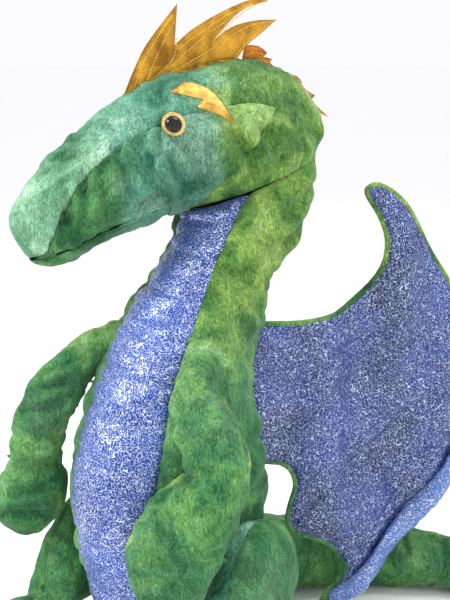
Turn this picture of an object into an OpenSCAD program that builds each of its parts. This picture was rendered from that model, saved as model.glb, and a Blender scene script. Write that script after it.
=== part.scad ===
// Seated plush dragon: sewn fabric shells over separate stuffed cores, with soft hinges at the seams.
// +Z is up, the dragon looks along -Y and +X is its left side. The origin is under the seat.

/* [Fabric] */
// Thickness of the pile fabric
plush_t = 2.4; // [1.5:0.1:3]
// Thickness of the sparkle lining
lining_t = 1.2; // [0.8:0.1:1.6]
// Thickness of the gold fabric, folded double
lame_t = 3; // [2:0.5:4]
// Air between a cover and its filling
ease = 0.3; // [0.3:0.1:0.5]

/* [Torso] */
// Half-width of the belly panel, in degrees around the torso from the front
belly_half_angle = 40; // [30:1:48]
// Width of the seat panel
seat_w = 76; // [60:1:80]
// Depth of the seat panel
seat_d = 100; // [80:1:104]

/* [Head] */
// How far the head is turned to the dragon's right, in degrees
head_turn = 25; // [0:1:30]
// Diameter of the gold iris
iris_d = 18; // [14:1:20]
// Diameter of the black dome
pupil_d = 13; // [9:1:14]

/* [Wings] */
// Distance from one wing hinge to the other
wing_root_gap = 66; // [64:1:80]
// Angle between a wing and straight back, in degrees
wing_splay = 30; // [20:1:40]
// Thickness of the padding between the wing's two fabrics
wing_pad_t = 2; // [1:0.5:3]

/* [Hidden] */

// Sections are [centre, front direction, side direction, half-depth, half-width].
// Stations are [x, y, z, half-depth, half-width] along a limb's middle line.
seam_gap = 0.4;
steps = 2;
// The torso from the seat to the throat, where the neck starts to fan out to the head
torso_path = [
    [0, 0, 3.2, 56, 44], [0, 0, 12, 66, 48], [0, 0, 34, 75, 51], [0, -3, 68, 80, 53],
    [0, -6, 103, 83, 60], [0, -5, 138, 76, 64], [0, 0, 173, 65, 60], [0, 12, 205, 54, 53],
    [0, 28, 231, 48, 48], [0, 45, 255, 45, 44], [0, 60, 277, 44, 42]
];
// The head, as [forward, height, tilt, half-depth, half-width] from the neck seam to the nose
head_path = [
    [14, 332, 19.6, 60.5, 41], [13.5, 344.5, 29, 66.9, 44], [18.8, 355, 38, 68.2, 46.5],
    [29, 362.7, 48.2, 67.4, 48.5], [51, 364, 60, 66, 49.5], [78.5, 358, 69.5, 61.5, 48],
    [105.5, 350.5, 75.5, 58, 45], [130.5, 339, 79.5, 53, 42], [154.5, 324, 83.5, 48, 39],
    [177, 311.5, 88.5, 38.5, 34], [191.5, 305, 93, 26, 26], [200.5, 305, 95, 14, 15],
    [204.5, 306, 95, 4, 5]
];
// Straight line of the mouth, as forward and height at its back and front
mouth_back = [82, 324];
mouth_front = [181, 281];
// Head sections that the mouth cuts, and the ease between the lips
mouth_first = 5 * steps;
mouth_last = 9 * steps + 1;
lips = 0.5;

// The left arm hangs over the belly's edge, the right one is lifted to the side
left_arm_path = [
    [57.5, -37, 206, 15, 15], [61, -46.5, 194, 16.5, 16], [66.5, -49.5, 184, 20, 17],
    [77.5, -50, 167, 24.5, 17.5], [84, -49.5, 150, 23.5, 18], [86, -50.5, 136, 22.5, 18],
    [80, -59.5, 117, 30, 18], [72, -68.5, 102, 36, 18], [68, -74.5, 86, 37, 17.5], [68, -75.5, 68, 33, 17],
    [69, -73.5, 56, 26, 15]
];
right_arm_path = [
    [-59, -33, 206, 15, 14.5], [-72.5, -44, 186, 20.5, 19], [-84.5, -54, 164, 20.5, 22],
    [-88, -56, 144, 19.5, 24], [-90, -57, 125, 19.5, 23], [-91, -58, 104, 28, 24],
    [-99, -65, 86, 24, 19]
];
arm_side = unit([0.643, -0.766, 0]);
left_leg_path = [
    [76, 4, 52, 46, 22], [82, -22, 43, 39, 22], [92, -46, 22, 20, 20], [100, -68, 17, 16, 21],
    [108, -92, 17, 16, 23]
];
left_leg_side = unit([0.94, 0.34, 0]);
right_leg_path = [
    [-76, -8, 52, 46, 22], [-76, -36, 38, 34, 21], [-73, -60, 17, 15.5, 19], [-70, -82, 15, 14, 20],
    [-68, -100, 15, 14, 22]
];
right_leg_side = unit([1, -0.1, 0]);
// The tail's sections have their half-depth across and their half-width up and down
tail_path = [
    [0, 108, 34, 32, 32], [6, 130, 32.5, 31, 31], [20, 156, 30, 29, 28.5], [44, 182, 27, 27, 25.5],
    [76, 202, 25, 25, 24], [112, 216, 22, 22, 21], [146, 222, 18, 18, 17], [176, 219, 13, 13, 12],
    [198, 211, 9.5, 8, 9]
];
// The wing seen flat, as distance from its hinge and height
wing_outline = [
    [1, 228], [28, 227], [57, 232], [82, 247], [96, 266], [99, 287], [93, 306], [84, 320],
    [83, 327], [92, 330], [107, 321], [124, 300], [142, 273], [158, 248], [171, 217], [177, 180],
    [173, 140], [158, 108], [115, 57], [80, 23], [62, 6], [48, 6], [60, 22], [66, 31], [61, 41],
    [51, 52], [34, 59], [24, 64], [19, 73], [21, 85], [25, 100], [21, 112], [12, 118], [1, 122]
];
rim_roll_path = [
    [166, -9, 131, 6, 4.5], [154, -9, 109, 7, 5], [112, -9, 59, 7, 5], [77, -9, 25, 7, 5],
    [56, -9, 10, 6, 4.5]
];
crest_outline = [
    [112, 399.6], [114.5, 399], [108, 414], [97, 435], [72, 465], [74, 434], [60, 446], [35, 460],
    [11, 469], [-4, 468], [15, 463], [28, 454], [42, 438], [28, 448], [9, 453], [-11, 454],
    [2, 444], [15, 434], [24, 422.5], [35, 421.5], [60, 416.6], [78, 412.2], [97, 406.6]
];
lobes_outline = [
    [18, 423.5], [15, 434], [4, 434], [-3, 429], [0, 426], [-8, 424], [-6, 421], [-15, 415],
    [-5, 418], [6, 421.5]
];
nape_outline = [
    [-24, 412], [-29, 411], [-33, 407], [-35, 402], [-45, 396], [-43, 391], [-57, 379], [-48, 383],
    [-46, 386], [-38, 399]
];
// Where the head's turning axis stands behind the seat's middle
neck_y = 104;
eye_forward = 94;
eye_height = 377;
eye_side = 42.5;
eye_tilt = 20;
eye_lean = 5;

function lerp(a, b, t) = a + (b - a) * t;
function unit(v) = v / norm(v);
function curve(a, b, c, d, t) =
    0.5 * (2 * b + (c - a) * t + (2 * a - 5 * b + 4 * c - d) * t * t
        + (3 * b - a - 3 * c + d) * t * t * t);
// More stations on a smooth curve through the given ones
function smooth(p, n = steps) = let (last = len(p) - 1) [
    for (i = [0 : last - 1], j = [0 : n - 1])
        curve(p[max(i - 1, 0)], p[i], p[i + 1], p[min(i + 2, last)], j / n),
    p[last]
];
function place(s) = [s[0], s[1], s[2]];
// Turns stations into sections; side is the direction across the limb
function sections(p, side) = let (last = len(p) - 1) [
    for (i = [0 : last])
        let (along = unit(place(p[min(i + 1, last)]) - place(p[max(i - 1, 0)])))
        let (front = unit(cross(side, along)))
        [place(p[i]), front, cross(along, front), p[i][3], p[i][4]]
];
function head_sections(n = steps) = [
    for (s = smooth(head_path, n))
        [[0, -s[0], s[1]], [0, -cos(s[2]), -sin(s[2])], [1, 0, 0], s[3], s[4]]
];
// Sections moved inwards by a fabric's thickness
function inset(q, t) = [for (s = q) [s[0], s[1], s[2], max(s[3] - t, 0.8), max(s[4] - t, 0.8)]];
// Adds a round end of the given depth to either end
function rounded(q, head, tail) = let (last = len(q) - 1) concat(
    head > 0 ? dome(q[0], -head, [80, 60, 35]) : [],
    q,
    tail > 0 ? dome(q[last], tail, [35, 60, 80]) : []
);
function dome(s, depth, angles) = let (along = cross(s[1], s[2])) [
    for (a = angles)
        [s[0] + along * depth * sin(a), s[1], s[2], s[3] * cos(a), s[4] * cos(a)]
];
function around(s, from, to, n) = [
    for (j = [0 : n])
        let (a = lerp(from, to, j / n))
        s[0] + s[1] * s[3] * cos(a) + s[2] * s[4] * sin(a)
];
function slice(q, from, to) = [for (i = [from : to]) q[i]];
function flat(lists) = [for (l = lists, v = l) v];
// Triangles over a grid of rows, each k points wide
function net(rows, k, start, flip) = flat([
    for (i = [0 : rows - 2], j = [0 : k - 2])
        let (a = start + i * k + j, b = a + 1, c = a + k, d = c + 1)
        flip ? [[a, b, d], [a, d, c]] : [[a, d, b], [a, c, d]]
]);
// Joins two equal lists of point numbers with triangles
function ribbon(p, q) = flat([
    for (i = [0 : len(p) - 2]) [[p[i], q[i], q[i + 1]], [p[i], q[i + 1], p[i + 1]]]
]);

// A closed solid through rings of points, closed by fans from a middle point at each end
module ring_solid(rings, middles) {
    n = len(rings[0]);
    m = len(rings);
    sides = flat([for (i = [0 : m - 2], j = [0 : n - 1])
        let (a = i * n + j, b = i * n + (j + 1) % n, c = a + n, d = b + n)
        [[a, b, d], [a, d, c]]]);
    ends = flat([for (j = [0 : n - 1]) let (next = (j + 1) % n)
        [[m * n, next, j], [m * n + 1, (m - 1) * n + j, (m - 1) * n + next]]]);
    polyhedron(concat(flat(rings), [middles[0], middles[m - 1]]), concat(sides, ends), convexity = 8);
}
module core(q, n = 20) {
    ring_solid([for (s = q) around(s, 0, 360 - 360 / n, n - 1)], [for (s = q) s[0]]);
}

// A fabric panel between two sets of sections; spans hold the first and last angle of each
module panel(outer, inner, spans, n = 8) {
    m = len(outer);
    k = n + 1;
    out = [for (i = [0 : m - 1]) around(outer[i], spans[i][0], spans[i][1], n)];
    inn = [for (i = [0 : m - 1]) around(inner[i], spans[i][0], spans[i][1], n)];
    first = [for (i = [0 : m - 1]) i * k];
    last = [for (v = first) v + k - 1];
    start = [for (j = [0 : k - 1]) j];
    end = [for (j = start) (m - 1) * k + j];
    lift = m * k;
    polyhedron(
        concat(flat(out), flat(inn)),
        concat(
            net(m, k, 0, true), net(m, k, lift, false),
            ribbon([for (v = first) v + lift], first), ribbon(last, [for (v = last) v + lift]),
            ribbon(start, [for (v = start) v + lift]), ribbon([for (v = end) v + lift], end)
        ),
        convexity = 8
    );
}
function span(q, from, to) = [for (s = q) [from, to]];

head_cut = head_sections();
head_last = len(head_cut) - 1;

// ---- Torso ----
function level(s) = [s[0], [0, -1, 0], [1, 0, 0], s[3], s[4]];
// A direction or point of the head, turned into the torso's frame
function turned(v) = [
    v[0] * cos(head_turn) + v[1] * sin(head_turn), v[1] * cos(head_turn) - v[0] * sin(head_turn), v[2]
];
// The neck seam's ring is the head's first section, counted from straight ahead of the torso
function neck_ring(s) =
    let (front = turned(s[1]) * s[3], side = turned(s[2]) * s[4])
    let (shift = atan2(-front[0], side[0]))
    let (f = front * cos(shift) + side * sin(shift), w = side * cos(shift) - front * sin(shift))
    [turned(s[0]) + [0, neck_y, -seam_gap], unit(f), unit(w), norm(f), norm(w)];
// A section part of the way from one to another, bulged backwards by some distance
function between(a, b, t, bulge) = [
    lerp(a[0], b[0], t) + [0, bulge * sin(180 * t), 0], unit(lerp(a[1], b[1], t)), unit(lerp(a[2], b[2], t)),
    lerp(a[3], b[3], t), lerp(a[4], b[4], t)
];
torso_cut = sections(smooth(torso_path), [1, 0, 0]);
throat = torso_cut[len(torso_cut) - 1];
fan = [for (t = [0.2 : 0.2 : 1]) between(throat, neck_ring(head_cut[0]), t, 3)];
torso = concat([level(torso_cut[0])], slice(torso_cut, 1, len(torso_cut) - 1), fan);
torso_inside = inset(torso, plush_t);
torso_fill = inset(torso, plush_t + ease);
side_edge = belly_half_angle + 0.4;

module torso_stuffing() {
    color("white") difference() {
        core(torso_fill);
        translate([0, 2, 34]) sphere(r = 26 + ease, $fn = 32);
    }
}
module belly_panel() {
    color("royalblue")
        panel(torso, inset(torso, lining_t), span(torso, -belly_half_angle, belly_half_angle), 8);
}
module body_panel(side) {
    panel(torso, torso_inside, side > 0 ? span(torso, side_edge, 179.7)
        : span(torso, 180.3, 360 - side_edge), 12);
}
module left_body_panel() {
    color("seagreen") body_panel(1);
}
module right_body_panel() {
    color("seagreen") body_panel(-1);
}
module seat_panel() {
    color("darkgreen") linear_extrude(plush_t)
        polygon([for (a = [0 : 15 : 345]) [seat_w / 2 * cos(a), seat_d / 2 * sin(a)]]);
}
module pellet_bag() {
    color("tan") translate([0, 2, 34]) sphere(r = 26, $fn = 32);
}
module nape_flap() {
    color("forestgreen") translate([0, 143.4, 321]) rotate([90, 0, 90]) rotate([0, 0, 6])
        linear_extrude(plush_t, center = true) polygon([[0, -22], [0, 12], [4, 8], [10, -8], [4, -12]]);
}

// ---- Head ----
module on_head() {
    translate([0, neck_y, 0]) rotate([0, 0, -head_turn]) children();
}
mouth_slope = (mouth_back[1] - mouth_front[1]) / (mouth_front[0] - mouth_back[0]);
function mouth_line(f) = mouth_back[1] - mouth_slope * (f - mouth_back[0]);
// Distance from a section's centre down to the mouth line
function to_mouth(s) = (s[0][2] - mouth_line(-s[0][1])) / (-s[1][2] + mouth_slope * s[1][1]);
// Half of the angle that the mouth takes out of a section
function mouth_angle(i) = (i < mouth_first - 2 || i > mouth_last) ? 1
    : i == mouth_first - 2 ? 14
    : i == mouth_first - 1 ? 32
    : acos(min(to_mouth(head_cut[i]) / head_cut[i][3], 0.995));

module head_solid(q) {
    ring_solid([for (i = [0 : len(q) - 1]) around(q[i], mouth_angle(i), 360 - mouth_angle(i), 21)],
        [for (s = q) s[0]]);
}
crown_edge = 122;
// The crown panel narrows along the snout and wraps the whole nose
nose_start = 8 * steps;
nose_seam = [122, 112, 92, 48];
function crown_from(i) = i < nose_start ? crown_edge
    : i < nose_start + len(nose_seam) ? nose_seam[i - nose_start] : mouth_angle(i);
module head_panel(from, to, left, right, n) {
    panel(slice(head_cut, from, to), slice(inset(head_cut, plush_t), from, to),
        [for (i = [from : to]) [left[i], right[i]]], n);
}
module side_panel(side, from, to, n = 7) {
    low = [for (i = [0 : head_last]) mouth_angle(i) + 0.4];
    high = [for (i = [0 : head_last]) max(crown_from(i) - 0.4, mouth_angle(i) + 1)];
    if (side > 0) head_panel(from, to, low, high, n);
    else head_panel(from, to, [for (a = high) 360 - a], [for (a = low) 360 - a], n);
}
module at_eye(side) {
    on_head() translate([side * eye_side, -eye_forward, eye_height])
        rotate([0, 0, side > 0 ? -eye_lean : 180 + eye_lean])
        rotate([0, 90 - eye_tilt, 0]) children();
}
module eye_hole(side) {
    at_eye(side) translate([0, 0, -14]) cylinder(d = 4.4, h = 20, $fn = 32);
}
module head_stuffing() {
    color("white") difference() {
        on_head() head_solid(inset(head_cut, plush_t + 11 * ease));
        for (side = [-1, 1]) {
            eye_hole(side);
            at_eye(side) translate([0, 0, -8]) cylinder(d = 13, h = 9.4, $fn = 48);
        }
    }
}
module crown_panel() {
    left = [for (i = [0 : head_last]) crown_from(i)];
    color("mediumseagreen") on_head()
        head_panel(0, head_last, left, [for (a = left) 360 - a], 14);
}
module muzzle_panel(side) {
    on_head() side_panel(side, 6 * steps, nose_start + 3);
}
module left_muzzle_panel() {
    color("seagreen") muzzle_panel(1);
}
module right_muzzle_panel() {
    color("seagreen") muzzle_panel(-1);
}
module cheek_panel(side) {
    difference() {
        on_head() side_panel(side, 3 * steps, 6 * steps);
        eye_hole(side);
    }
}
module left_cheek_panel() {
    color("mediumaquamarine") cheek_panel(1);
}
module right_cheek_panel() {
    color("mediumaquamarine") cheek_panel(-1);
}
module temple_panel(side) {
    on_head() side_panel(side, 0, 3 * steps, 6);
}
module left_temple_panel() {
    color("olivedrab") temple_panel(1);
}
module right_temple_panel() {
    color("olivedrab") temple_panel(-1);
}
// A thin strip along the mouth; rise is its distance above the mouth line, margin its distance from the skin
module mouth_strip(from, to, rise, t, margin) {
    rows = [for (i = [from : to])
        let (s = head_cut[i], d = s[3] * cos(mouth_angle(i)) - rise, w = s[4] * sin(mouth_angle(i)) - margin)
        [for (x = [-w, w]) s[0] + s[1] * d + s[2] * x]];
    n = len(rows);
    raise = [0, 0, t];
    polyhedron(
        concat(flat(rows), [for (p = flat(rows)) p + raise]),
        concat(
            net(n, 2, 0, false), net(n, 2, 2 * n, true),
            ribbon([for (i = [0 : n - 1]) 2 * i], [for (i = [0 : n - 1]) 2 * i + 2 * n]),
            ribbon([for (i = [0 : n - 1]) 2 * i + 1 + 2 * n], [for (i = [0 : n - 1]) 2 * i + 1]),
            ribbon([2 * n, 2 * n + 1], [0, 1]), ribbon([2 * n - 2, 2 * n - 1], [4 * n - 2, 4 * n - 1])
        ),
        convexity = 4
    );
}
module palate_panel() {
    color("darkgreen") on_head() mouth_strip(mouth_first, mouth_last - 1, 0, lining_t, 4);
}
// A brow lies on the cover, from above the eye back to the temple
brow_at = [22, 24, 27, 30, 33, 36];
brow_spans = [[95, 96.5], [98, 103], [106, 120], [122, 140], [136, 160], [152, 159]];
module brow(side) {
    fine = head_sections(6);
    q = [for (i = brow_at) fine[i]];
    on_head() panel(inset(q, -lame_t - 2 * ease), inset(q, -4 * ease),
        side > 0 ? brow_spans : [for (s = brow_spans) [360 - s[1], 360 - s[0]]], 4);
}
module left_brow() {
    color("goldenrod") brow(1);
}
module right_brow() {
    color("goldenrod") brow(-1);
}
// A flat gold piece standing on the middle of the head
module fin(outline) {
    on_head() rotate([90, 0, -90]) linear_extrude(lame_t, center = true) polygon(outline);
}
module crest_front() {
    color("goldenrod") fin(crest_outline);
}
module crest_lobes() {
    color("orange") fin(lobes_outline);
}
module crest_nape() {
    color("gold") fin(nape_outline);
}
module iris_ring(side) {
    at_eye(side) translate([0, 0, 1]) difference() {
        cylinder(d = iris_d, h = 1.4, $fn = 64);
        translate([0, 0, -1]) cylinder(d = 4.4, h = 4, $fn = 32);
    }
}
module left_iris_ring() {
    color("gold") iris_ring(1);
}
module right_iris_ring() {
    color("gold") iris_ring(-1);
}
module eye_dome(side) {
    at_eye(side) {
        translate([0, 0, 2.4]) intersection() {
            cylinder(d = pupil_d, h = 6, $fn = 64);
            translate([0, 0, -2.6]) sphere(d = 14.2, $fn = 64);
        }
        translate([0, 0, -12]) cylinder(d = 3.8, h = 14.5, $fn = 32);
    }
}
module left_eye_dome() {
    color("black") eye_dome(1);
}
module right_eye_dome() {
    color("black") eye_dome(-1);
}
module eye_washer(side) {
    at_eye(side) translate([0, 0, -7]) difference() {
        cylinder(d = 12, h = 1.6, $fn = 48);
        translate([0, 0, -1]) cylinder(d = 3.9, h = 4, $fn = 32);
    }
}
module left_eye_washer() {
    color("white") eye_washer(1);
}
module right_eye_washer() {
    color("white") eye_washer(-1);
}

// ---- Lower jaw ----
// Half-angle of the jaw's part of a section, for a chord this far below the mouth line
function jaw_angle(s, drop) = acos(min((to_mouth(s) + drop) / s[3], 0.99));
jaw_cut = slice(head_cut, mouth_first, mouth_last);
module jaw_skin() {
    angles = [for (s = jaw_cut) jaw_angle(s, lips)];
    color("seagreen") on_head()
        panel(jaw_cut, inset(jaw_cut, plush_t), [for (a = angles) [-a, a]], 10);
}
module jaw_stuffing() {
    last = len(jaw_cut) - 3;
    q = slice(inset(jaw_cut, plush_t + ease), 0, last);
    rings = [for (i = [0 : last]) let (a = jaw_angle([q[i][0], q[i][1], q[i][2], q[i][3], q[i][4]],
        lips + lining_t + ease)) around(q[i], -a, a, 11)];
    color("white") on_head() ring_solid(rings, [for (s = q) s[0] + s[1] * (to_mouth(s) + 4)]);
}
module jaw_lining() {
    color("darkgreen") on_head() mouth_strip(mouth_first, mouth_last - 1, -lips - lining_t, lining_t, 7);
}

// ---- Limbs ----
// One fabric half of a limb with round ends
module limb_panel(path, side, from, to, ends, n = 8) {
    q = sections(smooth(path), side);
    outer = rounded(q, ends[0], ends[1]);
    inner = rounded(inset(q, plush_t), ends[0] - plush_t, ends[1] - plush_t);
    panel(outer, inner, span(outer, from, to), n);
}
module limb_stuffing(path, side, ends) {
    t = plush_t + ease;
    core(rounded(inset(sections(smooth(path), side), t), ends[0] - t, ends[1] - t), 16);
}
seam = 0.3;
left_arm_ends = [16, 13];
right_arm_ends = [15.5, 15];
leg_ends = [46, 15];
tail_ends = [32, 8];
module left_arm_stuffing() {
    color("white") limb_stuffing(left_arm_path, arm_side, left_arm_ends);
}
module left_arm_front_panel() {
    color("seagreen") limb_panel(left_arm_path, arm_side, seam, 180 - seam, left_arm_ends);
}
module left_arm_back_panel() {
    color("darkseagreen") limb_panel(left_arm_path, arm_side, 180 + seam, 360 - seam, left_arm_ends);
}
module right_arm_stuffing() {
    color("white") limb_stuffing(right_arm_path, arm_side, right_arm_ends);
}
module right_arm_front_panel() {
    color("seagreen") limb_panel(right_arm_path, arm_side, seam, 180 - seam, right_arm_ends);
}
module right_arm_back_panel() {
    color("darkseagreen") limb_panel(right_arm_path, arm_side, 180 + seam, 360 - seam, right_arm_ends);
}
module left_leg_stuffing() {
    color("white") limb_stuffing(left_leg_path, left_leg_side, leg_ends);
}
module left_leg_outer_panel() {
    color("seagreen") limb_panel(left_leg_path, left_leg_side, seam, 180 - seam, leg_ends);
}
module left_leg_inner_panel() {
    color("darkseagreen") limb_panel(left_leg_path, left_leg_side, 180 + seam, 360 - seam, leg_ends);
}
module right_leg_stuffing() {
    color("white") limb_stuffing(right_leg_path, right_leg_side, leg_ends);
}
module right_leg_outer_panel() {
    color("seagreen") limb_panel(right_leg_path, right_leg_side, 180 + seam, 360 - seam, leg_ends);
}
module right_leg_inner_panel() {
    color("darkseagreen") limb_panel(right_leg_path, right_leg_side, seam, 180 - seam, leg_ends);
}

// ---- Tail ----
module tail_stuffing() {
    color("white") limb_stuffing(tail_path, [0, 0, 1], tail_ends);
}
module tail_left_panel() {
    color("seagreen") limb_panel(tail_path, [0, 0, 1], 90 + seam, 270 - seam, tail_ends);
}
module tail_right_panel() {
    color("seagreen") limb_panel(tail_path, [0, 0, 1], seam - 90, 90 - seam, tail_ends);
}

// ---- Wings ----
module wing(side) {
    mirror([side > 0 ? 0 : 1, 0, 0]) translate([wing_root_gap / 2, 66, 0])
        rotate([0, 0, 90 - wing_splay]) children();
}
// A flat layer of the wing, starting this far in front of the hinge plane
module wing_layer(from, t, edge) {
    translate([0, -from, 0]) rotate([90, 0, 0]) linear_extrude(t)
        offset(delta = edge) polygon(wing_outline);
}
module left_wing_lining() {
    color("mediumblue") wing(1) wing_layer(wing_pad_t / 2, lining_t, 0);
}
module left_wing_padding() {
    color("white") wing(1) wing_layer(-wing_pad_t / 2, wing_pad_t, -1.5);
}
module left_wing_back() {
    color("seagreen") wing(1) wing_layer(-wing_pad_t / 2 - plush_t, plush_t, 0);
}
module left_wing_rim_roll() {
    color("cornflowerblue") wing(1) rim_roll();
}
module right_wing_lining() {
    color("mediumblue") wing(-1) wing_layer(wing_pad_t / 2, lining_t, 0);
}
module right_wing_padding() {
    color("white") wing(-1) wing_layer(-wing_pad_t / 2, wing_pad_t, -1.5);
}
module right_wing_back() {
    color("seagreen") wing(-1) wing_layer(-wing_pad_t / 2 - plush_t, plush_t, 0);
}
module right_wing_rim_roll() {
    color("cornflowerblue") wing(-1) rim_roll();
}
module rim_roll() {
    core(rounded(sections(smooth(rim_roll_path), [0, -1, 0]), 4, 4), 10);
}

torso_stuffing();
belly_panel();
left_body_panel();
right_body_panel();
seat_panel();
pellet_bag();
nape_flap();
head_stuffing();
crown_panel();
left_muzzle_panel();
right_muzzle_panel();
left_cheek_panel();
right_cheek_panel();
left_temple_panel();
right_temple_panel();
left_brow();
right_brow();
crest_front();
crest_lobes();
crest_nape();
left_iris_ring();
right_iris_ring();
left_eye_dome();
right_eye_dome();
left_eye_washer();
right_eye_washer();
palate_panel();
jaw_stuffing();
jaw_skin();
jaw_lining();
left_arm_stuffing();
left_arm_front_panel();
left_arm_back_panel();
right_arm_stuffing();
right_arm_front_panel();
right_arm_back_panel();
left_leg_stuffing();
left_leg_outer_panel();
left_leg_inner_panel();
right_leg_stuffing();
right_leg_outer_panel();
right_leg_inner_panel();
left_wing_lining();
left_wing_padding();
left_wing_back();
left_wing_rim_roll();
right_wing_lining();
right_wing_padding();
right_wing_back();
right_wing_rim_roll();
tail_stuffing();
tail_left_panel();
tail_right_panel();
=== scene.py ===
"""Looks of a seated plush dragon: pile skins, sparkle lining, gold crest, quilted wings and shiny eyes."""
import bpy
import math
import numpy as np
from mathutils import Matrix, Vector
from mathutils.bvhtree import BVHTree
from mathutils.geometry import delaunay_2d_cdt


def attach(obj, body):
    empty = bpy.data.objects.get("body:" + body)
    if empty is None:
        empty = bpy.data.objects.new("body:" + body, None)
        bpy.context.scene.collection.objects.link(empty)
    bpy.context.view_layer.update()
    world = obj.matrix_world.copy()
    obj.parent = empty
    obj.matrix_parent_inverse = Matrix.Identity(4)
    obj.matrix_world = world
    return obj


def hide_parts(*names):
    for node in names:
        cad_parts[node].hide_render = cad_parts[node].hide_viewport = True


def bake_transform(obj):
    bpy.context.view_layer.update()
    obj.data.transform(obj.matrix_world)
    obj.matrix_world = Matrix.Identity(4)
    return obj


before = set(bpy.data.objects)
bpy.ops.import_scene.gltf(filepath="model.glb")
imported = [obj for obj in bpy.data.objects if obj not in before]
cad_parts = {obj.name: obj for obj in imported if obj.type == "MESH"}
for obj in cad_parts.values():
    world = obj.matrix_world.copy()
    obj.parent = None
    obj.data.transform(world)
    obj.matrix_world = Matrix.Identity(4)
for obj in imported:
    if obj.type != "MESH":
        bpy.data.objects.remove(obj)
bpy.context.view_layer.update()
MM = 0.001
HEAD_TURN = math.radians(25)
NECK_Y = 104
LENS_MM = 106.14
SENSOR_MM = 36


# ---- Curves and sections, in millimetres ----
def unit(v):
    return v / np.maximum(np.linalg.norm(v, axis=-1, keepdims=True), 1e-9)


def smooth(p, n):
    """A smooth curve through stations of any shape, n steps from one to the next."""
    p = np.asarray(p, float)
    last = len(p) - 1
    out = []
    for i in range(last):
        a, b, c, d = p[max(i - 1, 0)], p[i], p[i + 1], p[min(i + 2, last)]
        for t in np.arange(n) / n:
            out.append(0.5 * (2 * b + (c - a) * t + (2 * a - 5 * b + 4 * c - d) * t**2
                              + (3 * b - a - 3 * c + d) * t**3))
    return np.array(out + [p[last]])


def sections(stations, side):
    """Sections as rows of centre, front direction, side direction, half-depth and half-width."""
    p = smooth(stations, 2)
    c = p[:, :3]
    along = unit(np.vstack([c[1:], c[-1:]]) - np.vstack([c[:1], c[:-1]]))
    front = unit(np.cross(side, along))
    return np.hstack([c, front, np.cross(along, front), p[:, 3:5]])


def rings(sec, degrees):
    a = np.radians(np.broadcast_to(degrees, (len(sec), np.shape(degrees)[-1])))
    depth, width = sec[:, 9, None, None], sec[:, 10, None, None]
    return (sec[:, None, :3] + sec[:, None, 3:6] * depth * np.cos(a)[..., None]
            + sec[:, None, 6:9] * width * np.sin(a)[..., None])


def dome(s, depth, degrees):
    along = np.cross(s[3:6], s[6:9])
    rows = []
    for a in np.radians(degrees):
        rows.append(np.hstack([s[:3] + along * depth * math.sin(a), s[3:9], s[9:11] * math.cos(a)]))
    return np.array(rows)


def rounded(sec, head, tail):
    return np.vstack([dome(sec[0], -head, [87, 75, 55, 30]), sec, dome(sec[-1], tail, [30, 55, 75, 87])])


def loft(coarse, spacing):
    """Evenly spaced rows through coarse rings, and the coarse row number of each."""
    fine = smooth(coarse, 12)
    step = np.linalg.norm(np.diff(fine, axis=0), axis=2).mean(1)
    s = np.concatenate([[0], np.cumsum(step)])
    want = np.linspace(0, s[-1], max(int(round(s[-1] / spacing)), 4) + 1)
    k = np.searchsorted(s, want).clip(1, len(s) - 1)
    f = (want - s[k - 1]) / (s[k] - s[k - 1])
    rows = fine[k - 1] * (1 - f)[:, None, None] + fine[k] * f[:, None, None]
    return rows, (k - 1 + f) / 12


def columns(*stops):
    """Angles from stop to stop: each stop is (degrees, cells from the one before)."""
    out = [stops[0][0]]
    for (a, _), (b, n) in zip(stops[:-1], stops[1:]):
        out += list(np.linspace(a, b, n + 1)[1:])
    return np.array(out)


def to_head(p):
    """Points of the head's own frame, moved to the row frame."""
    c, s = math.cos(HEAD_TURN), math.sin(HEAD_TURN)
    p = np.asarray(p, float)
    return np.stack([p[..., 0] * c + p[..., 1] * s, p[..., 1] * c - p[..., 0] * s + NECK_Y, p[..., 2]], -1)


def ripple(p, size, seed, octaves=2):
    """A smooth random field with features of about this size."""
    rng = np.random.default_rng(seed)
    out = np.zeros(p.shape[:-1])
    for o in range(octaves):
        d = unit(rng.normal(size=(26, 3))) * (2 * math.pi * 2**o / size) * rng.uniform(0.6, 1.3, (26, 1))
        phase = rng.uniform(0, 2 * math.pi, 26)
        out += np.sin(p @ d.T + phase).sum(-1) * math.sqrt(2 / 26) * 0.5**o
    return out


def normals(grid, closed):
    if closed:
        across = np.roll(grid, -1, 1) - np.roll(grid, 1, 1)
    else:
        across = np.gradient(grid, axis=1)
    n = unit(np.cross(across, np.gradient(grid, axis=0)))
    middle = grid.mean(1, keepdims=True)
    return n if (n * (grid - middle)).sum() > 0 else -n


def distance_to(p, line):
    """Distance from every point to a polyline."""
    best = np.full(p.shape[:-1], 1e9)
    line = np.asarray(line, float)
    for a, b in zip(line[:-1], line[1:]):
        d = b - a
        t = np.clip(((p - a) @ d) / (d @ d), 0, 1)
        best = np.minimum(best, np.linalg.norm(p - a - t[..., None] * d, axis=-1))
    return best


def crease(grid, n, line, width, depth):
    """A fold along a line: a valley with a soft lip on either side."""
    d = distance_to(grid, smooth(line, 6))
    shape = np.exp(-(d / width) ** 2) - 0.45 * np.exp(-((d - 2 * width) / (1.1 * width)) ** 2)
    return grid - n * (depth * shape)[..., None]


def seam_pinch(grid, n, cols, depth=1.6, width=2.6, pucker=0.7, seed=1):
    """Pulls a closed grid in along some of its columns, with small gathers beside each seam."""
    moved = np.zeros(grid.shape[:2])
    for c in cols:
        line = grid[:, c % grid.shape[1]][:, None, :]
        d = np.linalg.norm(grid - line, axis=2)
        gather = ripple(np.broadcast_to(line, grid.shape), 13, seed + c, 1)
        moved -= depth * np.exp(-(d / width) ** 2) + pucker * gather * np.exp(-(d / 8) ** 2)
    return grid + n * moved[..., None]


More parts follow.
